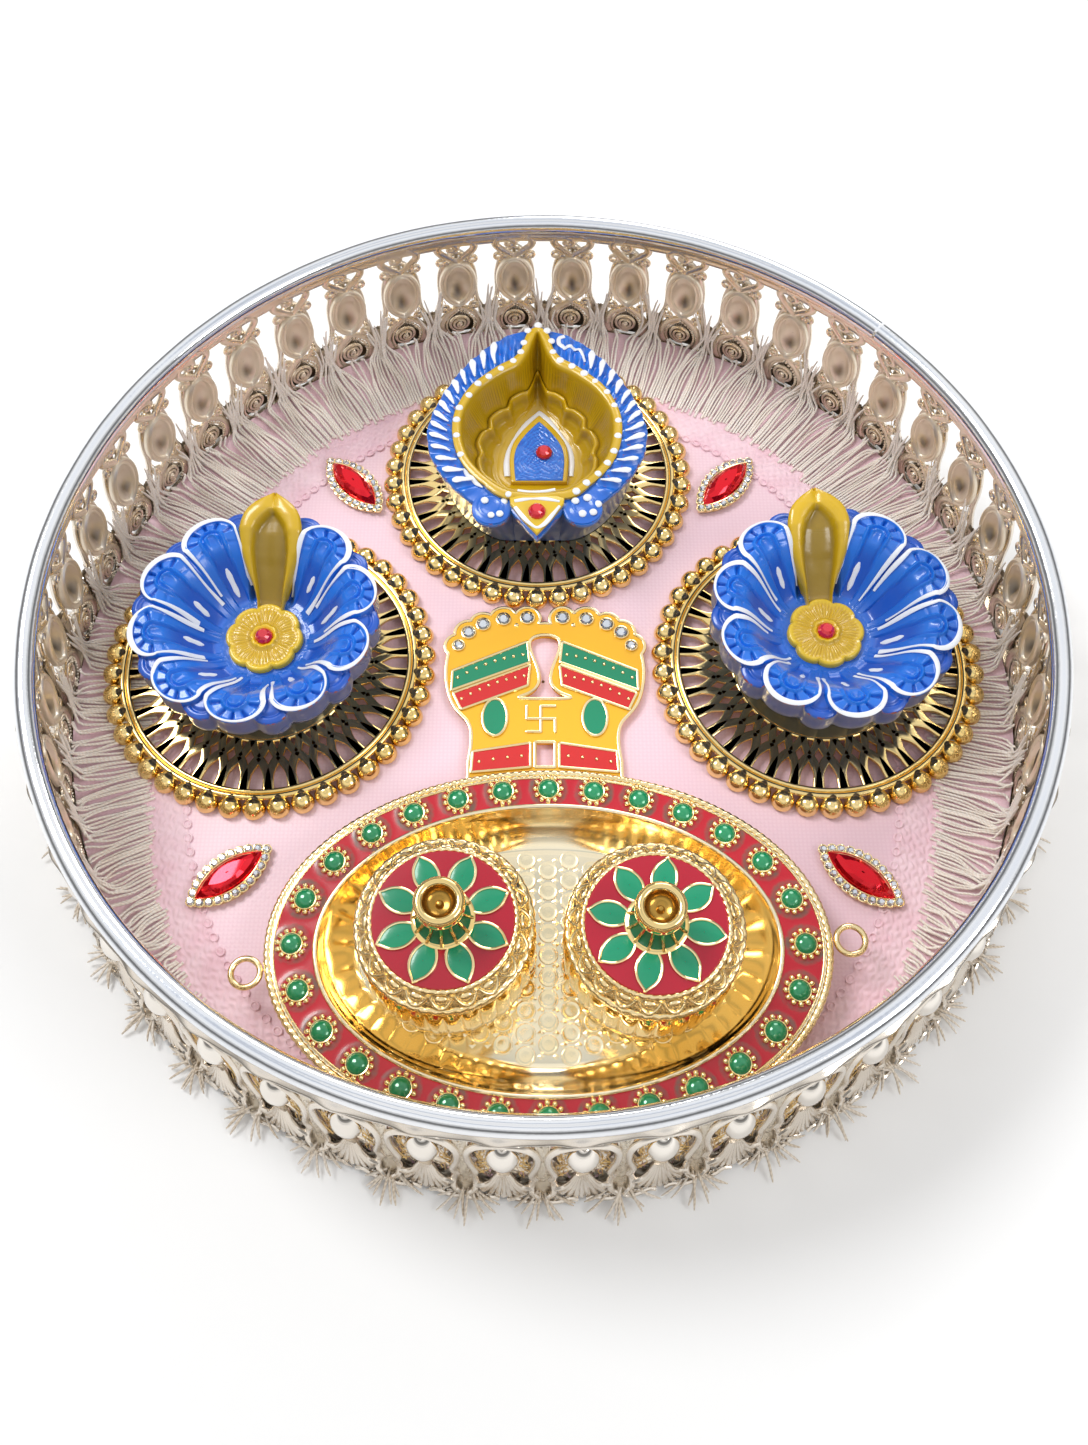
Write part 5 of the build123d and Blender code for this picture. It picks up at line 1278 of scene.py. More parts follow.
# %% Flower lamps in place
LINE_AT = 0.955
FLOWER_PLACES = {"left": (-90, 8.5, -4.5, 5), "right": (91.5, 10.5, 5, 23)}
for side, (x, y, turn, seed) in FLOWER_PLACES.items():
    body = side + "_lamp"
    at = dict(x=x, y=y, z=LAMP_Z, turn=turn)
    clay = piece("flower_lamp_" + side, moved(lamp_body, **at), blue_paint, body, "blue_clay", 50,
                 {"deep": deep.ravel(), "side": side_mask.ravel(), "chip": chip.ravel()})
    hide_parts("diya_" + side)
    piece("flower_spout_" + side, moved(spout, **at), ochre_paint, body, "blue_clay", 50, {"deep": spout_shade})
    piece("flower_blossom_" + side, moved(blossom, **at), yellow_paint, body, "blue_clay", 50,
          {"deep": blossom_shade})
    stone = piece("flower_stone_" + side, moved(cut_stone(2.85, 2.3, 12), x, y, LAMP_Z + 11.25, turn),
                  red_glass, body, "red_stone", 15)
    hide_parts("diya_" + side + "_stone")
    dice = np.random.default_rng(seed)
    strokes = []
    for k in range(1, 10):
        middle = math.radians(90 + k * PETAL_STEP)
        starts = dice.uniform(15.2, 19.5, 2)
        half_a, half_b = np.linspace(starts[0], EYE_R, 26), np.linspace(EYE_R, starts[1], 26)
        arc = np.linspace(-math.pi / 2, math.pi / 2, 30)
        u = np.concatenate([half_a, EYE_R + LINE_AT * PETAL_HALF * np.cos(arc), half_b])
        w = np.concatenate([-half_a, EYE_R * np.sin(arc), half_b]) * LINE_AT * PETAL_SPREAD
        w = w + 0.176 * np.sin(np.linspace(0, dice.uniform(14, 22), len(u)) + dice.uniform(0, 6))
        r, p = np.hypot(u, w), middle + np.arctan2(w, u)
        path = polar(r, p, flower_z(r, p) + 0.05)
        wide = 0.62 + 0.26 * np.sin(np.linspace(0, dice.uniform(9, 16), len(u))
                                    + dice.uniform(0, 6)) + dice.uniform(-0.06, 0.08)
        strokes.append(tube(path, wide, 0.24, 8))
        if dice.random() < 0.85:
            r0 = dice.uniform(17.5, 20.5)
            r = np.linspace(r0, r0 + dice.uniform(3.5, 6.5), 9)
            p = middle + dice.uniform(-0.05, 0.05) + np.linspace(0, dice.uniform(-0.03, 0.03), 9)
            path = polar(r, p, flower_z(r, np.full(9, p.mean())) + 0.1)
            strokes.append(tube(path, [0.25, 0.7, 0.9, 0.85, 0.8, 0.85, 0.95, 0.75, 0.3], 0.25, 8))
    piece("flower_white_lines_" + side, moved(join(strokes), **at), white_paint, body, "blue_clay", 60)

# %% [markdown]
# The back lamp is shaped like a pipal leaf. From its outline inward it has a blue rim
# with slanting ridges, a yellow lip with white dots, a steep ochre bowl, a terrace with
# a scalloped edge, and a floor with a raised arch. Each of those lines is drawn once as
# points round the middle; the surface is stretched between them, ring by ring.
# %% Leaf lamp lines
HUB = (0, 4)
LEAF_RIM_Z, LEAF_FLOOR = 25.2, 5.6
LEAF_STEPS = 840
leaf_angle = even_turn(LEAF_STEPS)


def both_sides(points):
    """Right-hand points from the back tip to the front, and their mirror, as a closed line."""
    left = [(-x, y) for x, y in points[::-1] if abs(x) > 1e-6]
    return points + left


def polar_edge(points, count=400, soft=True):
    """Distance from the hub to a closed line, at every angle of the lamp's grid."""
    line = smooth_line(points, count, True) if soft else np.asarray(points, float)
    d = line - HUB
    a = np.unwrap(np.arctan2(d[:, 1], d[:, 0]))
    r = np.hypot(d[:, 0], d[:, 1])
    order = np.argsort(a % TAU)
    return np.interp(leaf_angle, (a % TAU)[order], r[order], period=TAU)


def reach_of_circle(cx, cy, radius):
    """Far side of a circle, seen from the hub; zero where it is missed."""
    dx, dy = cx - HUB[0], cy - HUB[1]
    along = dx * np.cos(leaf_angle) + dy * np.sin(leaf_angle)
    off = np.abs(-dx * np.sin(leaf_angle) + dy * np.cos(leaf_angle))
    return np.where((off < radius) & (along > 0), along + np.sqrt(np.clip(radius ** 2 - off ** 2, 0, None)), 0)


print("lines at", LEAF_STEPS, "angles")

# %% Outline, lip, mouth, terrace and floor
outline = [(0, 46.4), (4.5, 44.5), (9.5, 42.6), (15.5, 38.6), (22, 32.2), (28, 24.2), (33, 14.6), (36.6, 4.6),
           (37.3, -3.5), (35, -13), (29.5, -22), (22.5, -29), (15, -33), (7, -33.5)]
leaf_r = polar_edge(both_sides(outline))
scallops = 0.35 * np.abs(np.cos(13 * (leaf_angle - math.pi / 2))) * soft_step(np.sin(leaf_angle), -0.75, -0.35)
leaf_r = leaf_r - 0.35 + scallops
for sign in (-1, 1):
    leaf_r = np.maximum(leaf_r, reach_of_circle(sign * 15, -32, 6.5))
front = polar_edge([(0, -44.1), (5, -37.8), (9.4, -31.5), (9.5, -20), (0, 30), (-9.5, -20), (-9.4, -31.5),
                    (-5, -37.8)], soft=False)
toward_front = np.cos(leaf_angle + math.pi / 2) > 0.9
leaf_r = np.where(toward_front, np.maximum(leaf_r, front), leaf_r)
lip = [(0, 44.6), (3, 42.6), (4.6, 38), (5.4, 33.6), (8, 29.4), (12.4, 26.4), (17, 22.6), (21.4, 18.6),
       (25, 12.6), (27.4, 5), (27.3, -4.2), (25, -12.6), (21, -18.8), (16, -23.6), (11, -27.2), (4, -28.4)]
lip_r = polar_edge(both_sides(lip))
mouth = [(0, 42.2), (1.6, 38), (3.4, 32.4), (6.4, 27.2), (11.6, 23.8), (16, 20.2), (19.8, 16.4), (23.2, 11),
         (25.3, 4.4), (25.2, -4), (22.9, -11.8), (19, -17.6), (14.4, -22), (9.6, -25), (3.6, -26.2)]
mouth_r = polar_edge(both_sides(mouth))
terrace = [(0, 35.5), (1.8, 30.5), (3.6, 26.6), (6.4, 25.6), (9.6, 23), (10.9, 18.9), (13.8, 17.6), (17, 14),
           (17.2, 9.6), (19.8, 7.6), (21.4, 3), (20.2, -1.6), (21, -4.6), (20, -9.6), (16.6, -13.6),
           (11, -17.6), (4, -18.6)]
terrace_r = polar_edge(both_sides(terrace))
floor_line = [(0, 27), (3.6, 22), (8, 15.4), (11.6, 8), (13.4, 0.5), (13.2, -6), (10, -10.4), (4, -11)]
floor_r = polar_edge(both_sides(floor_line))
print("leaf lamp", round(leaf_r.max(), 1), "mm from hub to tip")

# %% [markdown]
# The rim's ridges slant toward the front on both sides, like the veins of the leaf.
# Their phase follows the distance along the outline, so they keep one width all round.
# The blue and the ochre clay are two meshes that meet at the yellow lip.
# %% Leaf lamp bodies
edge_x, edge_y = leaf_r * np.cos(leaf_angle), leaf_r * np.sin(leaf_angle)
walk = np.concatenate([[0], np.cumsum(np.hypot(np.diff(edge_x), np.diff(edge_y)))])
tip_at = int(round(LEAF_STEPS / 4))
from_tip = np.abs(walk - walk[tip_at])
from_tip = np.minimum(from_tip, walk[-1] - from_tip)


def leaf_ridge(frac):
    """Height of the slanting ridges; frac is 0 at the lip and 1 at the outline."""
    phase = from_tip / 5.3 + 1.25 * (frac[:, None] - 0.5) + 0.15 * np.sin(from_tip / 9)
    wave = 0.5 + 0.5 * np.cos(TAU * phase)
    side_zone = soft_step(from_tip, 9, 13) * (1 - soft_step(from_tip, 92, 97))
    return wave ** 0.8 * side_zone * (np.sin(math.pi * np.clip(frac, 0, 1)) ** 0.5)[:, None]


frac = np.linspace(0.1, 0.97, 24)
band_r = lip_r + (leaf_r - lip_r) * frac[:, None]
crown = 0.5 * np.sin(math.pi * frac)[:, None]
front_swirl = np.zeros((len(frac), LEAF_STEPS))
bx, by = band_r * np.cos(leaf_angle) + HUB[0], band_r * np.sin(leaf_angle) + HUB[1]
for sign in (-1, 1):
    d = np.hypot(bx - sign * 15.2, by + 31.6)
    front_swirl += 0.9 * hump(d, 3.6, 0.9) - 0.5 * hump(d, 0, 1.6)
band_z = LEAF_RIM_Z - 1.75 + 1.6 * leaf_ridge(frac) + crown + 0.5 * front_swirl
band_z = np.minimum(band_z, LEAF_RIM_Z + 0.1)
base_r = polar_edge(both_sides([(0.86 * x, 0.86 * y) for x, y in outline]))
rings = [(base_r * 0.02, 0)]
for f in np.linspace(1, 0.12, 12):
    side_r = leaf_r * (1 - f ** 0.9) + np.minimum(base_r, leaf_r - 0.5) * f ** 0.9
    rings.append((side_r, (LEAF_RIM_Z - 3) * (1 - f)))
rings += [(leaf_r, band_z[-1] - 2), (leaf_r + 0.12, band_z[-1] - 1), (leaf_r, band_z[-1] - 0.35),
          (band_r, band_z), (lip_r + (leaf_r - lip_r) * 0.02, LEAF_RIM_Z - 1.5)]
r_all, z_all = ring_rows(rings)
top_rows = len(band_r) + 1
side_leaf, chip_leaf, leaf_hollow_shade = np.zeros((3, *r_all.shape))
side_leaf[:-(top_rows + 2)] = 1
chip_leaf[-(top_rows + 4):-(top_rows - 2)] = 0.85
chip_leaf[-(top_rows - 2):] = 0.25 + 0.45 * hump(np.cos(leaf_angle - math.radians(214)), 1, 0.01)
# Painted shade: the valleys between the rim's ridges and the ring at the lip are darkened.
leaf_hollow_shade[-len(band_r) - 1:-1] = (1 - leaf_ridge(frac))[::-1] * 0.55
leaf_hollow_shade[-1] = 0.6


def from_hub(r, z):
    return ringed(polar(r, leaf_angle, z) + [*HUB, 0])


def leaf_piece(name, shape, material, slot="blue_clay", sharp=50, values=None):
    """A piece of the back lamp, set on its stand."""
    return piece(name, moved(shape, *STAND_PLACES["back"], LAMP_Z), material, "back_lamp", slot, sharp, values)


back_lamp = leaf_piece("leaf_lamp_blue_clay", from_hub(r_all, z_all), blue_paint, values={
    "deep": leaf_hollow_shade.ravel(), "side": side_leaf.ravel(), "chip": chip_leaf.ravel()})
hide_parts("diya_back")

# %% Ochre bowl
TERRACE_Z = 13
lip_w = leaf_r - lip_r
start = lip_r + np.minimum(0.12 * lip_w, 1.3)
# Painted shade: the third number of each ring darkens the ochre. It is light at the lip, the mouth and the
# terrace's top, and darker down the wall with the brush marks, at the wall's foot, down the terrace's edge and
# across the floor.
rings = [(lip_r + 0.1 * lip_w + 0.1, LEAF_RIM_Z - 1.7, 0.2)]
for f, z in ((0, -0.35), (0.2, 0.05), (0.45, 0.1), (0.7, 0), (0.9, -0.5), (1, -1.3)):
    rings.append((start + (mouth_r - start) * f, LEAF_RIM_Z + z, 0 if f < 0.8 else 0.35))
brush = 0.16 * np.sin(leaf_angle * 150 + 3 * np.sin(leaf_angle * 7)) + 0.08 * np.sin(leaf_angle * 233)
for f in np.linspace(0.08, 0.92, 16):
    rub = math.sin(math.pi * f)
    z = LEAF_RIM_Z - 1.3 - (LEAF_RIM_Z - 1.3 - TERRACE_Z + 0.6) * f
    shade = 0.35 + 0.5 * rub * (0.5 + brush * 3)
    rings.append((mouth_r + (terrace_r + 0.5 - mouth_r) * f ** 1.25, z + brush * rub, shade))
for f, z, shade in ((0, -0.75, 0.8), (0.5, -0.2, 0.25), (1, 0.35, 0), (1.5, 0.45, 0), (2, 0.15, 0.1),
                    (2.3, -0.9, 0.45), (2.6, -2.6, 0.75), (3, -3.9, 0.6)):
    rings.append((terrace_r + 0.4 - f, TERRACE_Z + z, shade))
for f in np.linspace(0.15, 1, 10):
    ease = (1 - f) ** 1.5
    z = (TERRACE_Z - 3.9) * ease + LEAF_FLOOR * (1 - ease) + 0.35 * math.sin(9 * f)
    rings.append(((terrace_r - 2.6) * (1 - f) + floor_r * f, z, 0.45 * (1 - f) + 0.1))
rings += [(floor_r * f, LEAF_FLOOR, 0.15) for f in (0.9, 0.75, 0.55, 0.3, 0.02)]
bowl_r, bowl_h, bowl_shade = ring_rows(rings)
leaf_piece("leaf_lamp_ochre_bowl", flipped(from_hub(bowl_r, bowl_h)), ochre_paint,
           values={"deep": bowl_shade.ravel()})


def leaf_top(x, y):
    """Height of the blue rim at a place, for the painted strokes."""
    a = np.arctan2(y - HUB[1], x - HUB[0]) % TAU
    k = np.round(a / TAU * LEAF_STEPS).astype(int) % LEAF_STEPS
    d = np.hypot(x - HUB[0], y - HUB[1])
    f = np.clip((d - lip_r[k]) / (leaf_r[k] - lip_r[k]), 0.1, 0.97)
    row = np.round((f - 0.1) / 0.87 * (len(frac) - 1)).astype(int)
    return band_z[row, k]


# %% [markdown]
# White strokes, dots and a curl are brushed over the blue; the dots are small domes of
# thick paint. The raised arch in the bowl is blue with a yellow border and a white
# line round it, and the front lip is a small pointed plate with its own white lines.
# %% Leaf lamp paint and stones
dice = np.random.default_rng(29)
paint = []
for sign in (-1, 1):
    for k in range(14):
        d0 = 13.25 + 5.3 * (k + 1)
        d0 -= 0.8 * math.sin(d0 / 9)
        near_lip = dice.uniform(0.2, 0.34)
        if k == 0 and sign > 0:
            continue
        pts = []
        for f, slip in ((0.9, 0), (0.66, 1.9), (0.46, 3.7), (near_lip, 5.2)):
            at = int(np.argmin(np.abs(from_tip - (d0 + slip)) + 1e3 * (sign * np.cos(leaf_angle) < 0)))
            r = lip_r[at] + (leaf_r[at] - lip_r[at]) * f
            pts.append((r * math.cos(leaf_angle[at]) + HUB[0], r * math.sin(leaf_angle[at]) + HUB[1]))
        line = smooth_line(pts, 12)
        line += dice.normal(0, 0.04, line.shape)
        z = leaf_top(line[:, 0], line[:, 1]) + 0.08
        z = np.convolve(np.pad(z, 4, mode="edge"), np.ones(9) / 9, "valid") + 0.25
        fat = dice.uniform(0.85, 1.15)
        wide = swell(12, [0, 0.14, 0.5, 1], [0.45, 1.15, 0.8, 0.3]) * fat
        paint.append(tube(np.column_stack([line, z + 0.1]), wide, 0.28, 8))
curl = smooth_line([(16.6, 29.2), (14.8, 33.6), (12, 35.2), (9.2, 35.6), (7.6, 37.6), (7.7, 40.2), (9.6, 41.2)],
                   30)
paint.append(tube(np.column_stack([curl, leaf_top(curl[:, 0], curl[:, 1]) + 0.25]),
                  swell(30, [0, 0.5, 1], [0.45, 0.85, 0.7]), 0.3, 8))
dots_at = [
    (0.2, 45.3), (3.4, 42.8), (-3.4, 42.8), (4.9, 38), (-4.7, 37.2), (5.4, 33), (-5.8, 33), (7.9, 29.2),
    (-8.4, 29), (12, 26.6), (-12.7, 25.6), (16.2, 23.4), (-16.8, 22), (19.9, 20), (-20.5, 18.9), (23.9, 15.2),
    (-23.5, 13.8), (26.3, 9.4), (-26.6, 8.3), (27.5, 2.9), (-27.4, 3.2), (27.2, -3.6), (-27.2, -3.4),
    (25.7, -10), (-25.6, -11.4), (23.4, -14.9), (20.2, -19.3), (16.3, -23), (12.9, -26.4), (12.6, -29.6),
    (14.9, -34.6), (18.4, -34), (20, -30.6), (16.6, -28.4), (-10.9, -29.6), (-15, -35.2), (-17.2, -29.4),
    (-12.2, -34.6), (-9.4, -27.6)]
for x, y in dots_at:
    a = math.atan2(y - HUB[1], x - HUB[0]) % TAU
    k = int(round(a / TAU * LEAF_STEPS)) % LEAF_STEPS
    on_lip = math.hypot(x - HUB[0], y - HUB[1]) < lip_r[k] + 1.3
    z = LEAF_RIM_Z - 0.1 if on_lip else float(leaf_top(np.array(x), np.array(y)))
    size = dice.uniform(1.15, 1.5)
    paint.append(ball(size, x, y, z - 0.05, 12, 5, 0.42, 0.5))
for pts in ([(-19.6, -20.5), (-16.6, -22.6), (-13.4, -24.9), (-10.6, -26.6)],
            [(-24.4, -17.6), (-21.2, -21.6), (-18, -24.2)]):
    line = smooth_line(pts, 10)
    paint.append(tube(np.column_stack([line, leaf_top(line[:, 0], line[:, 1]) + 0.35]),
                      [0.3, 0.7, 0.85, 0.8, 0.75, 0.8, 0.85, 0.7, 0.5, 0.25], 0.3, 8))
lip_plate = sheet_shape([[(-9, -29.2), (-6, -28.2), (6, -28.2), (9, -29.2), (8.8, -31.6), (4.9, -37.2),
                          (0, -43.4), (-4.9, -37.2), (-8.8, -31.6)]], LEAF_RIM_Z - 1.6, LEAF_RIM_Z + 0.25, 0.5)
leaf_piece("leaf_lamp_front_lip", lip_plate, yellow_paint)
TOP = LEAF_RIM_Z + 0.3
for pts, wide in (([(-7.4, -30.6), (-3.6, -29.9), (0, -29.7), (3.6, -29.9), (7.4, -30.8)], 0.55),
                  ([(-7.2, -33), (-4.4, -37), (-1.8, -39.9), (0.2, -41), (2.6, -39.4), (5.2, -35.8),
                    (7.4, -32.6)], 0.62)):
    line = smooth_line(pts, 24)
    paint.append(tube(raised(line, TOP), wide * (1 + 0.25 * np.sin(np.linspace(0, 11, 24))), 0.25, 8))
dam = smooth_line([(-6.4, -25.6), (-2.4, -26.2), (2, -26), (6, -25.2)], 16)
paint.append(tube(raised(dam, LEAF_RIM_Z - 0.8), 0.55, 0.3, 8))

# %% Raised arch and stones
arch_line = smooth_line([(0, 22.4), (1.6, 20.2), (4.6, 16.4), (8, 11.4), (10.4, 6), (11.2, 0), (11.2, -6)], 40)
mirror_line = arch_line[::-1] * [-1, 1]
white_arch = np.concatenate([mirror_line, arch_line[1:]])
wide = 1 + 0.28 * np.sin(np.linspace(0, 23, len(white_arch)))
paint.append(tube(raised(white_arch + [0.6, 0], LEAF_FLOOR + 0.25), wide, 0.4, 8))
leaf_piece("leaf_lamp_white_paint", join(paint), white_paint, sharp=60)

niche = smooth_line([(0, 17.6), (2.4, 15), (5.6, 10.8), (8.2, 6), (9.2, 0.6), (9, -5), (8.6, -9.4)], 30)
base_line = np.column_stack([np.linspace(8.6, -8.6, 14)[1:-1], np.full(12, -9.4)])
niche = np.concatenate([niche[::-1] * [-1, 1], niche[1:], base_line])[::-1] + [0.6, 0]
border = sheet_shape([[(x * 1.13 - 0.08, (y + 9.4) * 1.09 - 9.4) for x, y in niche]], LEAF_FLOOR - 0.6,
                     LEAF_FLOOR + 1.75, 0.6)
leaf_piece("leaf_lamp_arch_border", border, ochre_paint)
edge = np.linspace(0, 1, 60)[:, None]
rows = np.array([0.6, 2]) + (niche - [0.6, 2]) * edge[..., None]
x, y = rows[..., 0], rows[..., 1]
weave = np.sin(x * 2.9 + 1.6 * np.sin(y * 0.9)) * np.sin(y * 3.4 + 1.3 * np.sin(x * 1.1))
mz = LEAF_FLOOR + 2 - 0.8 * soft_step(edge, 0.93, 1) + 0.22 * weave * (edge < 0.93)
# Painted shade: the low parts of the arch's woven relief are darkened.
leaf_piece("leaf_lamp_arch", ringed(np.dstack([rows, mz])), blue_paint, sharp=60,
           values={"deep": np.clip(0.45 - 0.75 * weave, 0, 1).ravel()})
gem = cut_stone(2.9, 2.4, 14)
gems = join([moved(gem, 2.3, 2.7, LEAF_FLOOR + 2.1), moved(gem, 0, -34.9, LEAF_RIM_Z + 0.2)])
stones = leaf_piece("leaf_lamp_stones", gems, red_glass, "red_stone", 15)
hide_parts("diya_back_stones")

# %% [markdown]
# The oval tray is one gold shell: a wide flange, a bright inner lip, a polished wall
# and a floor. Every ring of it is an ellipse, so a list of half sizes and heights
# makes it. The flange's edge is a twisted rope, a bar whose strands wind round it.
# %% Oval tray
TRAY_AT = (1.6, -92.33)
TRAY_FLOOR_Z = 6.6


def tray_piece(name, shape, material, slot="tray_gold", **more):
    return piece(name, moved(shape, *TRAY_AT), material, slot=slot, **more)


def oval(rows, steps=240):
    """A shape from (half width, half depth, height) rings."""
    t = even_turn(steps)
    return ringed([np.stack([a * np.cos(t), b * np.sin(t), np.full(steps, z)], 1) for a, b, z in rows])


def rope(path, radius, pitch, strands=2, sides=10):
    """A closed twisted rope along a path of even steps."""
    length = np.linalg.norm(np.roll(path, -1, 0) - path, axis=1).sum()
    turns = round(length / pitch / strands) * TAU
    side, top = frames(path, True, (0, 0, 1))
    phi = even_turn(sides)
    wind = turns * np.arange(len(path)) / len(path)
    bulge = radius * (0.74 + 0.3 * np.abs(np.cos(strands * (phi - wind[:, None]) / 2)) ** 0.7)
    ring = (path[:, None] + side[:, None] * (np.cos(phi) * bulge)[..., None]
            + top[:, None] * (np.sin(phi) * bulge)[..., None])
    return flipped(grid(ring, closed_u=True, closed_v=True))


def oval_path(a, b, z, count):
    """Evenly spaced places along an ellipse."""
    t = np.linspace(0, TAU, 8000)
    walk = np.concatenate([[0], np.cumsum(np.hypot(np.diff(a * np.cos(t)), np.diff(b * np.sin(t))))])
    t = np.interp(walk[-1] * np.arange(count) / count, walk, t)
    return np.stack([a * np.cos(t), b * np.sin(t), np.full(count, z)], 1)


tray_rows = [
    (59, 34.6, 5.7), (66.5, 42.2, 11), (70, 45.6, 16.6), (80, 52.8, 16), (81, 53.8, 16.6), (80.9, 53.7, 17.8),
    (79.6, 52.4, 18), (68.4, 43.9, 18), (68.2, 43.7, 18.7), (67.8, 43.3, 19.15), (67.2, 42.8, 19.2),
    (66.7, 42.3, 18.9), (66.4, 42, 18.2), (65.9, 41.5, 16.4), (64.6, 40.2, 13.4), (62.6, 38.2, 10.6),
    (60.2, 35.8, 8.5), (58.2, 33.8, 7.2), (57, 32.6, 6.75), (55.8, 31.4, 6.62), (40, 22, 6.6), (0.3, 0.2, 6.6)]
tray_shell = tray_piece("tray_shell", oval(tray_rows), tray_gold, sharp=50)
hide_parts("oval_tray")
edge = rope(oval_path(81.3, 54.1, 17.2, 1300), 1.25, 2.4)
tray_rope = tray_piece("tray_rope_edge_twisted", edge, pale_gold, sharp=70)
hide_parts("tray_rope_edge")
inner_rope = rope(oval_path(79.5, 52.3, 18.35, 900), 0.42, 1.6)
tray_piece("tray_inner_wire", inner_rope, pale_gold, sharp=70)

# %% Green stones in bead collars
STONES, STONE_RING = 28, (48.5, 74.3)
stone_places = oval_path(*STONE_RING, 0, STONES)[:, 1::-1]
collar = turned([(3.6, 18.35), (3.45, 18.95), (3.25, 19.15), (3.05, 19.1), (2.95, 18.5)], 28)
stones, collars = [], []
for n, (x, y) in enumerate(stone_places):
    stones.append(ball(3.1, x, y, 18.45, 22, 7, 0.62, 0.5))
    collars.append(moved(collar, x, y))
    for a in even_turn(12) + TAU * 0.37 * n / 12:
        collars.append(ball(0.88, x + 4.05 * math.cos(a), y + 4.05 * math.sin(a), 18.75, 10, 6, 1, 0.72))
green_glass = finish("green_stone_glass", (0, 0.19, 0.055), (0, 0.3, 0.11), 0.15, (0.04, 0.12), 90, 0.08,
                     0.0003, coat=1, coat_rough=0.03)
stone_piece = tray_piece("tray_green_stones", join(stones), green_glass, slot="green_stone")
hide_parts("tray_stones")
collar_piece = tray_piece("tray_collars", join(collars), pale_gold)
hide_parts("tray_bead_collars")

# %% [markdown]
# The flange is filled with crimson enamel. Poured enamel stands lower in the middle,
# so the mesh carries the distance to the nearest collar, and the material turns a dark
# brownish grey in patches round the collars and along both edges, broken up by noise.
# %% Crimson enamel
def enamel_finish(name, shade, tint):
    return finish(name, shade, tint, 0, (0.16, 0.28), 60, 0.2, 0.0004, coat=0.35, coat_rough=0.05)


crimson = enamel_finish("crimson_enamel_fill", (0.45, 0, 0.008), (0.53, 0.002, 0.016))
tree, shader = parts(crimson)
cloud = noise_node(tree, add(tree, "ShaderNodeTexCoord").outputs["Object"], 170, 5, 0.7)
mask = spread(tree, math_node(tree, "MULTIPLY", kept(tree, "near"), cloud), 0.3, 0.62, 0, 0.9)
feed(shader, "Base Color", mix_colour(tree, mask, fed(shader, "Base Color"), (0.12, 0.1, 0.07)))
inward = np.linspace(0, 1, 26)
t = even_turn(900)
a = 79.2 + (68.3 - 79.2) * inward
b = 52 + (43.8 - 52) * inward
x, y = a[:, None] * np.cos(t), b[:, None] * np.sin(t)
near = np.min(np.hypot(x[..., None] - stone_places[:, 0], y[..., None] - stone_places[:, 1]), axis=2)
z = 18.34 + 0.18 * hump(near, 4.6, 1.4) - 0.1 * np.sin(math.pi * inward)[:, None]
mask = np.maximum(hump(near, 5.3, 1.5), 0.75 * hump(inward, 0, 0.07)[:, None])
mask = np.maximum(mask, 0.6 * hump(inward, 1, 0.07)[:, None])
enamel = ringed(np.stack([x, y, z], 2))
enamel_piece = tray_piece("tray_crimson_enamel", enamel, crimson, slot="crimson_enamel",
                     values={"near": mask.ravel()})
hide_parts("tray_red_enamel")

# %% [markdown]
# The tray's floor is embossed with rows of round buttons and small diamonds between
# them, raised a few tenths of a millimetre, so the floor sparkles instead of lying flat.
# %% Embossed floor and ear rings
button = turned([(2.95, 0), (2.85, 0.2), (2.6, 0.26), (2.35, 0.16), (1.4, 0.2), (0.05, 0.22)], 28)
diamond = ringed([round_path(1.15, 0, 4), round_path(0.1, 0.24, 4)])
BUTTON_STEP = 6.6
floor_bits = []
for i in range(-9, 10):
    for j in range(-6, 7):
        x, y = i * BUTTON_STEP, (j + (i % 2) / 2) * BUTTON_STEP
        for bit, dx, dy in ((button, 0, 0), (diamond, 4.4, 0), (diamond, 2.2, 3.3)):
            if ((x + dx) / 54) ** 2 + ((y + dy) / 30) ** 2 < 1:
                floor_bits.append(moved(bit, x + dx, y + dy, TRAY_FLOOR_Z))
embossed = finish("embossed_gold", (0.94, 0.78, 0.47), (0.98, 0.86, 0.6), 1, (0.12, 0.24), 500, 0.25)
tray_piece("tray_floor_buttons", join(floor_bits), embossed)
for name, (x, y) in {"left": (-85.48, -100.36), "right": (89.42, -90.75)}.items():
    ring = moved(tube(round_path(4.2, 16.9, 40), 0.95, 0.95, 12, closed=True), x, y)
    ear = piece("tray_ear_ring_" + name, ring, pale_gold, slot="tray_gold")
    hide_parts("tray_ear_" + name)

# %% [markdown]
# The two pots are pressed gold metal with thirty flutes. Each lid has a twisted edge,
# a row of half-moons, a second rope, and a coloured disc with eight green petals that
# have raised gold borders. The knob is a hollow cup on a neck of gold ribs over green.
# The lid's pieces ride on the lid, so that it lifts off, and the pot is hollow below.
# %% Pots and lids
POT_Z, LID_Z, DISC_Z = 6.7, 31.3, 39.1
POT_PLACES = {"left": (-27.4, -91.03, 0), "right": (31.2, -92.43, 11)}
t = even_turn(360)
FLUTE_PAIRS, MOONS, PETALS, KNOB_RIBS = 15, 20, 8, 12
flute = np.abs(np.cos(FLUTE_PAIRS * t)) ** 0.55
pot_profile = [
    (0.2, 0, 0), (23, 0, 0), (23.8, 0.5, 0), (24.6, 1.6, 0), (24.4, 2.6, 0.1), (24.5, 3.4, 0.6), (24.5, 4.4, 1),
    (24.5, 9, 1), (24.5, 14.5, 1), (24.5, 19.2, 1), (24.5, 20.2, 0.6), (24.5, 20.9, 0.1), (24.4, 21.6, 0),
    (23.5, 22.8, 0), (23.4, 24.5, 0), (22.9, 24.6, 0), (22.1, 24.5, 0), (22, 23.5, 0), (22, 3, 0),
    (21.4, 2.1, 0), (0.2, 2, 0)]
pot_body = ringed([polar(r + 1.05 * k * flute, t, z) for r, z, k in pot_profile])
moon = np.abs(np.cos(MOONS / 2 * t)) ** 0.5
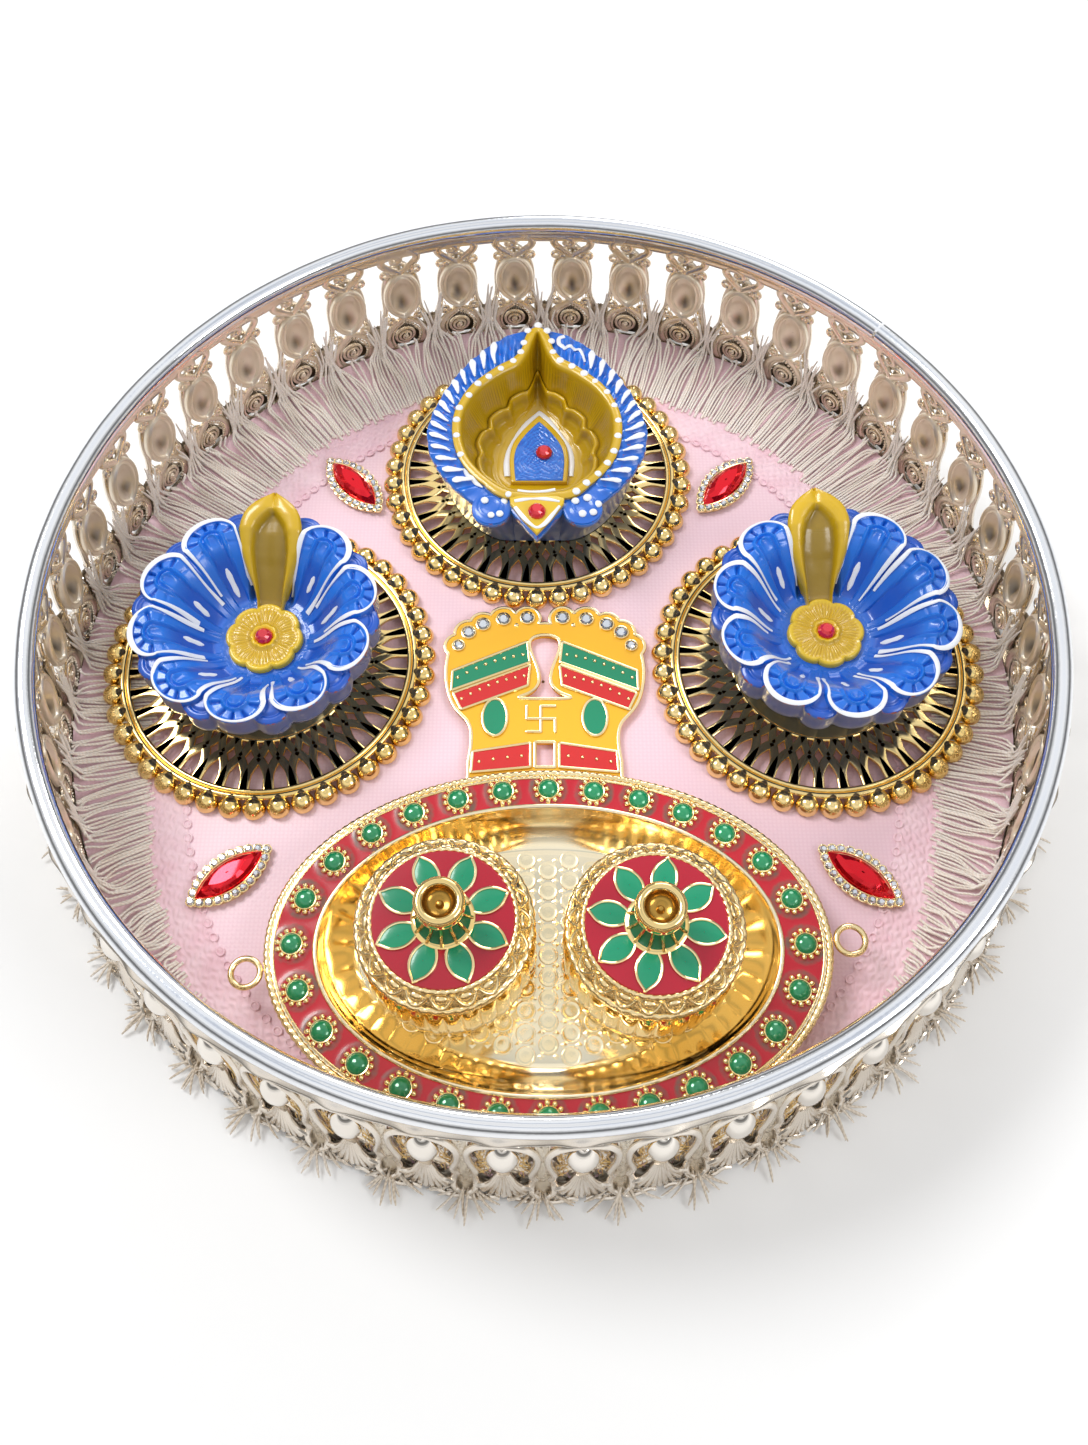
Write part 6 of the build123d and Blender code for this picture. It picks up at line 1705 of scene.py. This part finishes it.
lid_profile = [
    (20.1, -2.9, 0), (21.5, -3, 0), (21.6, -0.1, 0), (24.4, 0.05, 0), (25.1, 0.8, 0), (25.2, 1.8, 0),
    (24.8, 2.9, 0), (24, 3.5, 0), (23.6, 4, 0.1), (23, 4.7, 0.2), (22.3, 5.3, 0.2), (21.7, 5.8, 0.1),
    (21.2, 6.3, 0), (20.8, 6.8, 0), (20.4, 7.3, 0), (19.6, 7.6, 0), (18, 7.7, 0), (8, 7.7, 0), (0.2, 7.7, 0)]
lid_body = ringed([polar(r + 0.5 * k * moon, t, z + 0.75 * k * moon) for r, z, k in lid_profile])
print("pot:", len(pot_body[0]), "points")

# %% Moons, ropes, petals and knob
moons = []
tilt = math.radians(40)
for k in range(MOONS):
    a = TAU * k / MOONS
    bow = np.linspace(-1, 1, 13)
    r = 21.3 + 2.7 * (1 - bow ** 2)
    moons.append(tube(polar(r, a + bow * 0.148, 6.35 - 0.86 * (r - 21.3)), 0.62, 0.62, 8))
    body = ball(1.55, 0, 0, 0, 14, 6, 0.42, 0.5)
    px, py, pz = (body[0] * [0.72, 1.25, 1]).T
    leaned = [px * math.cos(tilt) + pz * math.sin(tilt) + 21.9, py,
              pz * math.cos(tilt) - px * math.sin(tilt) + 5.85]
    moons.append(moved((np.stack(leaned, 1), body[1]), turn=math.degrees(a)))

lid_trim = join([rope(round_path(24.25, 2.7, 720), 1.15, 3.3), rope(round_path(24.6, 0.6, 480), 0.55, 1.8),
                 rope(round_path(20.25, 7.35, 560), 0.85, 2.4), *moons])
disc = turned([(19.7, 0), (19.5, 0.3), (14, 0.42), (8.7, 0.4)], 96)
petal_line = smooth_line([(7, 0), (8.4, 1.75), (10.9, 3.15), (13.6, 3.45), (16.5, 2.5), (19.2, 0)], 18)
petal_ring = np.concatenate([petal_line, petal_line[-2:0:-1] * [1, -1]])
middle = np.array([13, 0])
petal_rows = [raised(middle + (petal_ring - middle) * s, z)
              for s, z in ((1, 0.35), (0.97, 0.62), (0.8, 0.74), (0.5, 0.84), (0.2, 0.88), (0.02, 0.88))]
petals = around(ringed(petal_rows), PETALS, 22.5)
ridges = around(tube(raised(petal_ring, 0.66), 0.46, 0.46, 8, closed=True), PETALS, 22.5)
knob = turned([(9, 0.3), (8.9, 0.95), (8.2, 1.3), (7.2, 1.4)], 64)
neck = turned([(8.3, 0.9), (7.4, 1.6), (5.6, 3.6), (4.6, 5.9), (4.2, 7.8), (4.6, 9.2), (5.6, 10.2)], 64)
cup = turned([(4.2, 8.2), (5, 9), (6.4, 10.4), (6.95, 12.2), (7, 14.2), (6.9, 15.6), (6.4, 16.3), (5.8, 16.55),
              (5.1, 16.5), (4.6, 16.2), (4.4, 15.7)], 64)
hollow = turned([(4.45, 15.9), (4.25, 14.6), (3.7, 13.5), (2.6, 12.9), (1.2, 12.7), (1, 13.3), (0.6, 13.9),
                 (0.02, 14)], 48)
rib = tube(smooth_line([(8.3, 0, 1), (6.6, 0, 2.7), (5.2, 0, 4.9), (4.5, 0, 7.4), (4.8, 0, 9.2)], 9), 0.52,
           0.52, 8)
print("lid:", MOONS, "moons,", PETALS, "petals")

# %% Pots and lids in place
green_enamel = enamel_finish("green_enamel_fill", (0, 0.22, 0.1), (0, 0.29, 0.14))
lid_crimson = enamel_finish("lid_crimson_enamel", (0.36, 0, 0.012), (0.44, 0, 0.02))
dark_green = enamel_finish("neck_green_enamel", (0, 0.1, 0.035), (0.01, 0.16, 0.06))
amber = finish("knob_hollow_amber", (0.5, 0.29, 0.06), (0.34, 0.18, 0.035), 0.9, (0.16, 0.28), 300, 0.2)
for side, (x, y, turn) in POT_PLACES.items():
    lid = side + "_lid"
    pot = piece("pot_body_" + side, moved(pot_body, x, y, POT_Z), gold, side + "_pot", "pot_gold", 45)
    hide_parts("pot_" + side)
    top = piece("lid_shell_" + side, moved(lid_body, x, y, LID_Z, turn), pale_gold, lid, "pot_gold", 45)
    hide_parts("lid_" + side)
    piece("lid_ropes_" + side, moved(lid_trim, x, y, LID_Z, turn), pale_gold, lid, "pot_gold", 70)
    enamel_disc = piece("lid_disc_" + side, moved(disc, x, y, DISC_Z, turn), lid_crimson, lid, "crimson_enamel")
    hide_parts("lid_" + side + "_enamel")
    leaves = piece("lid_petals_green_" + side, moved(petals, x, y, DISC_Z, turn), green_enamel, lid,
                   "green_enamel")
    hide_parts("lid_" + side + "_petals")
    piece("lid_petal_borders_" + side, moved(ridges, x, y, DISC_Z, turn), pale_gold, lid, "pot_gold")
    knob_piece = piece("lid_knob_" + side, moved(join([knob, cup, around(rib, KNOB_RIBS)]), x, y, DISC_Z, turn),
                       gold, lid, "pot_gold")
    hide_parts("knob_" + side)
    piece("lid_knob_hollow_" + side, moved(hollow, x, y, DISC_Z, turn), amber, lid, "pot_gold")
    piece("lid_knob_neck_" + side, moved(neck, x, y, DISC_Z, turn), dark_green, lid, "green_enamel")

# %% [markdown]
# The footprint plaque is a gold plate with raised lines, filled with yellow, green and
# red enamel. The plates are right as solids, so they keep their meshes and only get
# new materials. The raised lines must follow their edges exactly: the outline of each
# plate is read from its own mesh, edge by edge, and a thin gold bar is swept along it.
# %% Footprint plaque


def outlines_of(node, z):
    """Closed outlines, in mm, of a node's flat faces at a height."""
    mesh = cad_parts[node].data
    places = np.array([v.co[:] for v in mesh.vertices]) / MM
    used = {}
    for face in mesh.polygons:
        corners = places[list(face.vertices)]
        if abs(face.normal.z) > 0.9 and np.all(np.abs(corners[:, 2] - z) < 0.02):
            ids = [tuple(np.round(places[v][:2], 2)) for v in face.vertices]
            for a, b in zip(ids, ids[1:] + ids[:1]):
                key = (a, b) if a < b else (b, a)
                used[key] = used.get(key, 0) + 1
    links = {}
    for (a, b), times in used.items():
        if times == 1 and a != b:
            links.setdefault(a, []).append(b)
            links.setdefault(b, []).append(a)
    loops = []
    while links:
        start = next(iter(links))
        loop, at, last = [start], start, None
        while True:
            following = [n for n in links.get(at, []) if n != last]
            links.pop(at, None)
            following = [n for n in following if n in links or n == start]
            if not following or following[0] == start:
                break
            last, at = at, following[0]
            loop.append(at)
        if len(loop) > 3:
            loops.append(np.array(loop))
    return loops


def even_loop(loop, step=0.5):
    """The same closed outline with points at even steps."""
    closed = np.concatenate([loop, loop[:1]])
    walk = np.concatenate([[0], np.cumsum(np.linalg.norm(np.diff(closed, axis=0), axis=1))])
    count = max(8, int(walk[-1] / step))
    at = walk[-1] * np.arange(count) / count
    return np.column_stack([np.interp(at, walk, closed[:, 0]), np.interp(at, walk, closed[:, 1])])


print("outline helpers ready")

# %% Raised gold lines
yellow = enamel_finish("yellow_enamel_fill", (0.9, 0.46, 0.008), (0.94, 0.52, 0.02))
red_fill = enamel_finish("red_enamel_fill", (0.6, 0.008, 0.008), (0.68, 0.016, 0.014))
lines = []
for node, z, wide in (("footprint_plaque", 8, 0.62), ("plaque_green_enamel", 8.4, 0.5),
                      ("plaque_red_enamel", 8.4, 0.5)):
    for loop in outlines_of(node, z):
        path = even_loop(loop)
        lines.append(tube(raised(path, z - 0.05), wide, 0.42, 8, closed=True))
print("plaque outlines:", len(lines))
ARM = 4.6
swastik = [[(0, -ARM), (0, ARM), (ARM, ARM)], [(-ARM, 0), (ARM, 0), (ARM, -ARM)],
           [(0, ARM), (0, -ARM), (-ARM, -ARM)], [(ARM, 0), (-ARM, 0), (-ARM, ARM)]]
for stroke in swastik:
    path = [(x - 0.7, y - 14.9, 8.15) for x, y in stroke]
    for first, second in zip(path, path[1:]):
        lines.append(tube([first, second], 0.55, 0.4, 8))
    lines += [ball(0.55, *at, 8, 5, 0.75) for at in path]
dots = []
for low, high, count in (((5.8, 9), (30.2, -0.8), 8), ((5.4, 1), (28.6, -8.6), 8),
                         ((5.2, -28), (23.2, -30.6), 4)):
    for f in (np.arange(count) + 0.5) / count:
        x, y = low[0] + (high[0] - low[0]) * f, low[1] + (high[1] - low[1]) * f
        y += 1.6 * math.sin(math.pi * f) if count > 4 else 0.4 * math.sin(math.pi * f)
        dots += [ball(0.62, 0.6 + x, y, 8.35, 10, 5, 0.9, 0.5), ball(0.62, 0.6 - x, y, 8.35, 10, 5, 0.9, 0.5)]
piece("plaque_gold_lines", join(lines + dots), pale_gold, slot="yellow_plaque")


def dress(node, material):
    """Gives a solid of the frame a finish of its own."""
    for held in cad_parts[node].material_slots:
        held.material = material


dress("footprint_plaque", yellow)
dress("plaque_green_enamel", green_enamel)
dress("plaque_red_enamel", red_fill)

# %% [markdown]
# The clear stones are glass chatons with foil behind them, so they flash white and
# dark. Each is cut with a flat table, two rows of facets and a girdle, in a gold cup
# with prongs. The long red crystals are cut the same way on a pointed oval.
# %% Clear stones and marquise jewels
foiled = finish("foiled_glass", (0.8, 0.83, 0.86), (0.62, 0.66, 0.72), 0.82, (0.02, 0.06), 400, 0.05, coat=1,
                coat_rough=0.02)


def chaton(radius, high):
    """Small round stone with eight facets in a row."""
    return cut_stone(radius, high, 8, 0.5, (0.74, 0.78), (0.95, 0.4))


def cup_of(radius, low, high):
    """Small gold cup with four prongs."""
    ring = turned([(radius + 0.35, low), (radius + 0.35, high * 0.55), (radius + 0.02, high * 0.6),
                   (radius - 0.1, low)], 16)
    prongs = around(ball(0.32, radius + 0.05, 0, high * 0.62, 6, 4), 4, 45)
    return join([ring, prongs])


stones, cups = [], []
for x, y in ((5.9, 22.8), (13.9, 22.3), (20.7, 20.3), (25.5, 17.2), (28.7, 12.2)):
    size = 2.15 if x < 28 else 1.8
    for sign in (-1, 1):
        turn = 17 * x * sign
        stones.append(moved(chaton(size, 1.15), 0.6 + sign * x, y, 8.25, turn))
        cups.append(moved(cup_of(size, 0, 1.2), 0.6 + sign * x, y, 8, turn))
toe = piece("toe_clear_stones", join(stones), foiled, slot="clear_stone", sharp=8)
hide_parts("toe_rhinestones")
piece("toe_stone_cups", join(cups), pale_gold, slot="yellow_plaque")

# %% Marquise jewels
def marquise(length, width, count):
    """Pointed oval of two arcs, with evenly spaced points."""
    half, w = length / 2, width / 2
    radius = (half * half + w * w) / (2 * w)
    span = math.asin(half / radius)
    n = count // 2
    a = -span + 2 * span * np.arange(n) / n
    upper = np.column_stack([radius * np.sin(a), radius * np.cos(a) - radius + w])
    return np.concatenate([upper, -upper])


JEWELS = [(-67.3, 78.2, -48.5), (64.7, 78.2, 48.5), (-95.8, -67.8, 38.2), (97, -67.8, -38.2)]
plate = ringed([raised(marquise(L, W, 48), z) for L, W, z in
                ((29.4, 13.6, 5.7), (30.2, 14.4, 6.3), (30.2, 14.4, 6.9), (29.6, 13.8, 7.3), (1, 0.5, 7.3))])
cut = []
for L, W, z, slip in ((1.2, 0.4, 10.75, 0), (13, 4.6, 10.75, 0), (18.5, 6.7, 10, 0.5), (22.6, 8.3, 8.8, 0),
                      (24, 9, 7.9, 0.5), (24, 9, 7.2, 0.5)):
    ring = marquise(L, W, 16)
    if slip:
        ring = 0.5 * (ring + np.roll(ring, -1, 0))
        ring = ring * [L / 2 / np.abs(ring[:, 0]).max() * 0.985, 1]
    cut.append(raised(ring, z))
crystal = ringed(cut)
ring_places = marquise(27.2, 11.9, 22)
stones, cups = [], []
for n, (x, y) in enumerate(ring_places):
    stones.append(moved(chaton(1.28, 1.05), x, y, 7.75, 31 * n))
    cups.append(moved(cup_of(1.28, 0, 1.15), x, y, 7.2, 31 * n))
bezel = tube(raised(marquise(24.7, 9.6, 60), 8), 0.32, 0.5, 8, closed=True)
jewels = [join([moved(s, x, y, 0, turn) for x, y, turn in JEWELS])
          for s in (crystal, join(stones), join(cups + [bezel]), plate)]
red_cut = finish("red_cut_crystal", (0.9, 0.006, 0.022), (0.7, 0.002, 0.012), 0.75, (0.02, 0.05), 60, 0.02,
                 coat=0.25, coat_rough=0.02)
for name, shape, material, slot_name, node, sharp in (
        ("jewel_red_crystals", jewels[0], red_cut, "red_crystal", "marquise_crystals", 4),
        ("jewel_clear_stones", jewels[1], foiled, "clear_stone", "jewel_rhinestones", 8),
        ("jewel_cups", jewels[2], pale_gold, "jewel_gold", None, 40),
        ("jewel_plates", jewels[3], pale_gold, "jewel_gold", "jewel_settings", 30)):
    made = piece(name, shape, material, slot=slot_name, sharp=sharp)
    if node:
        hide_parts(node)

# %% [markdown]
# One solid still shows: the board under everything, seen only from below and at its
# edge. It is plain pressed board, so it gets a fibrous brown finish.
# %% Board
board_material = finish("pressed_board", (0.42, 0.27, 0.15), (0.33, 0.2, 0.11), 0, (0.6, 0.8), 900, 0.5,
                        0.0003)
dress("base_board", board_material)
print("board dressed")
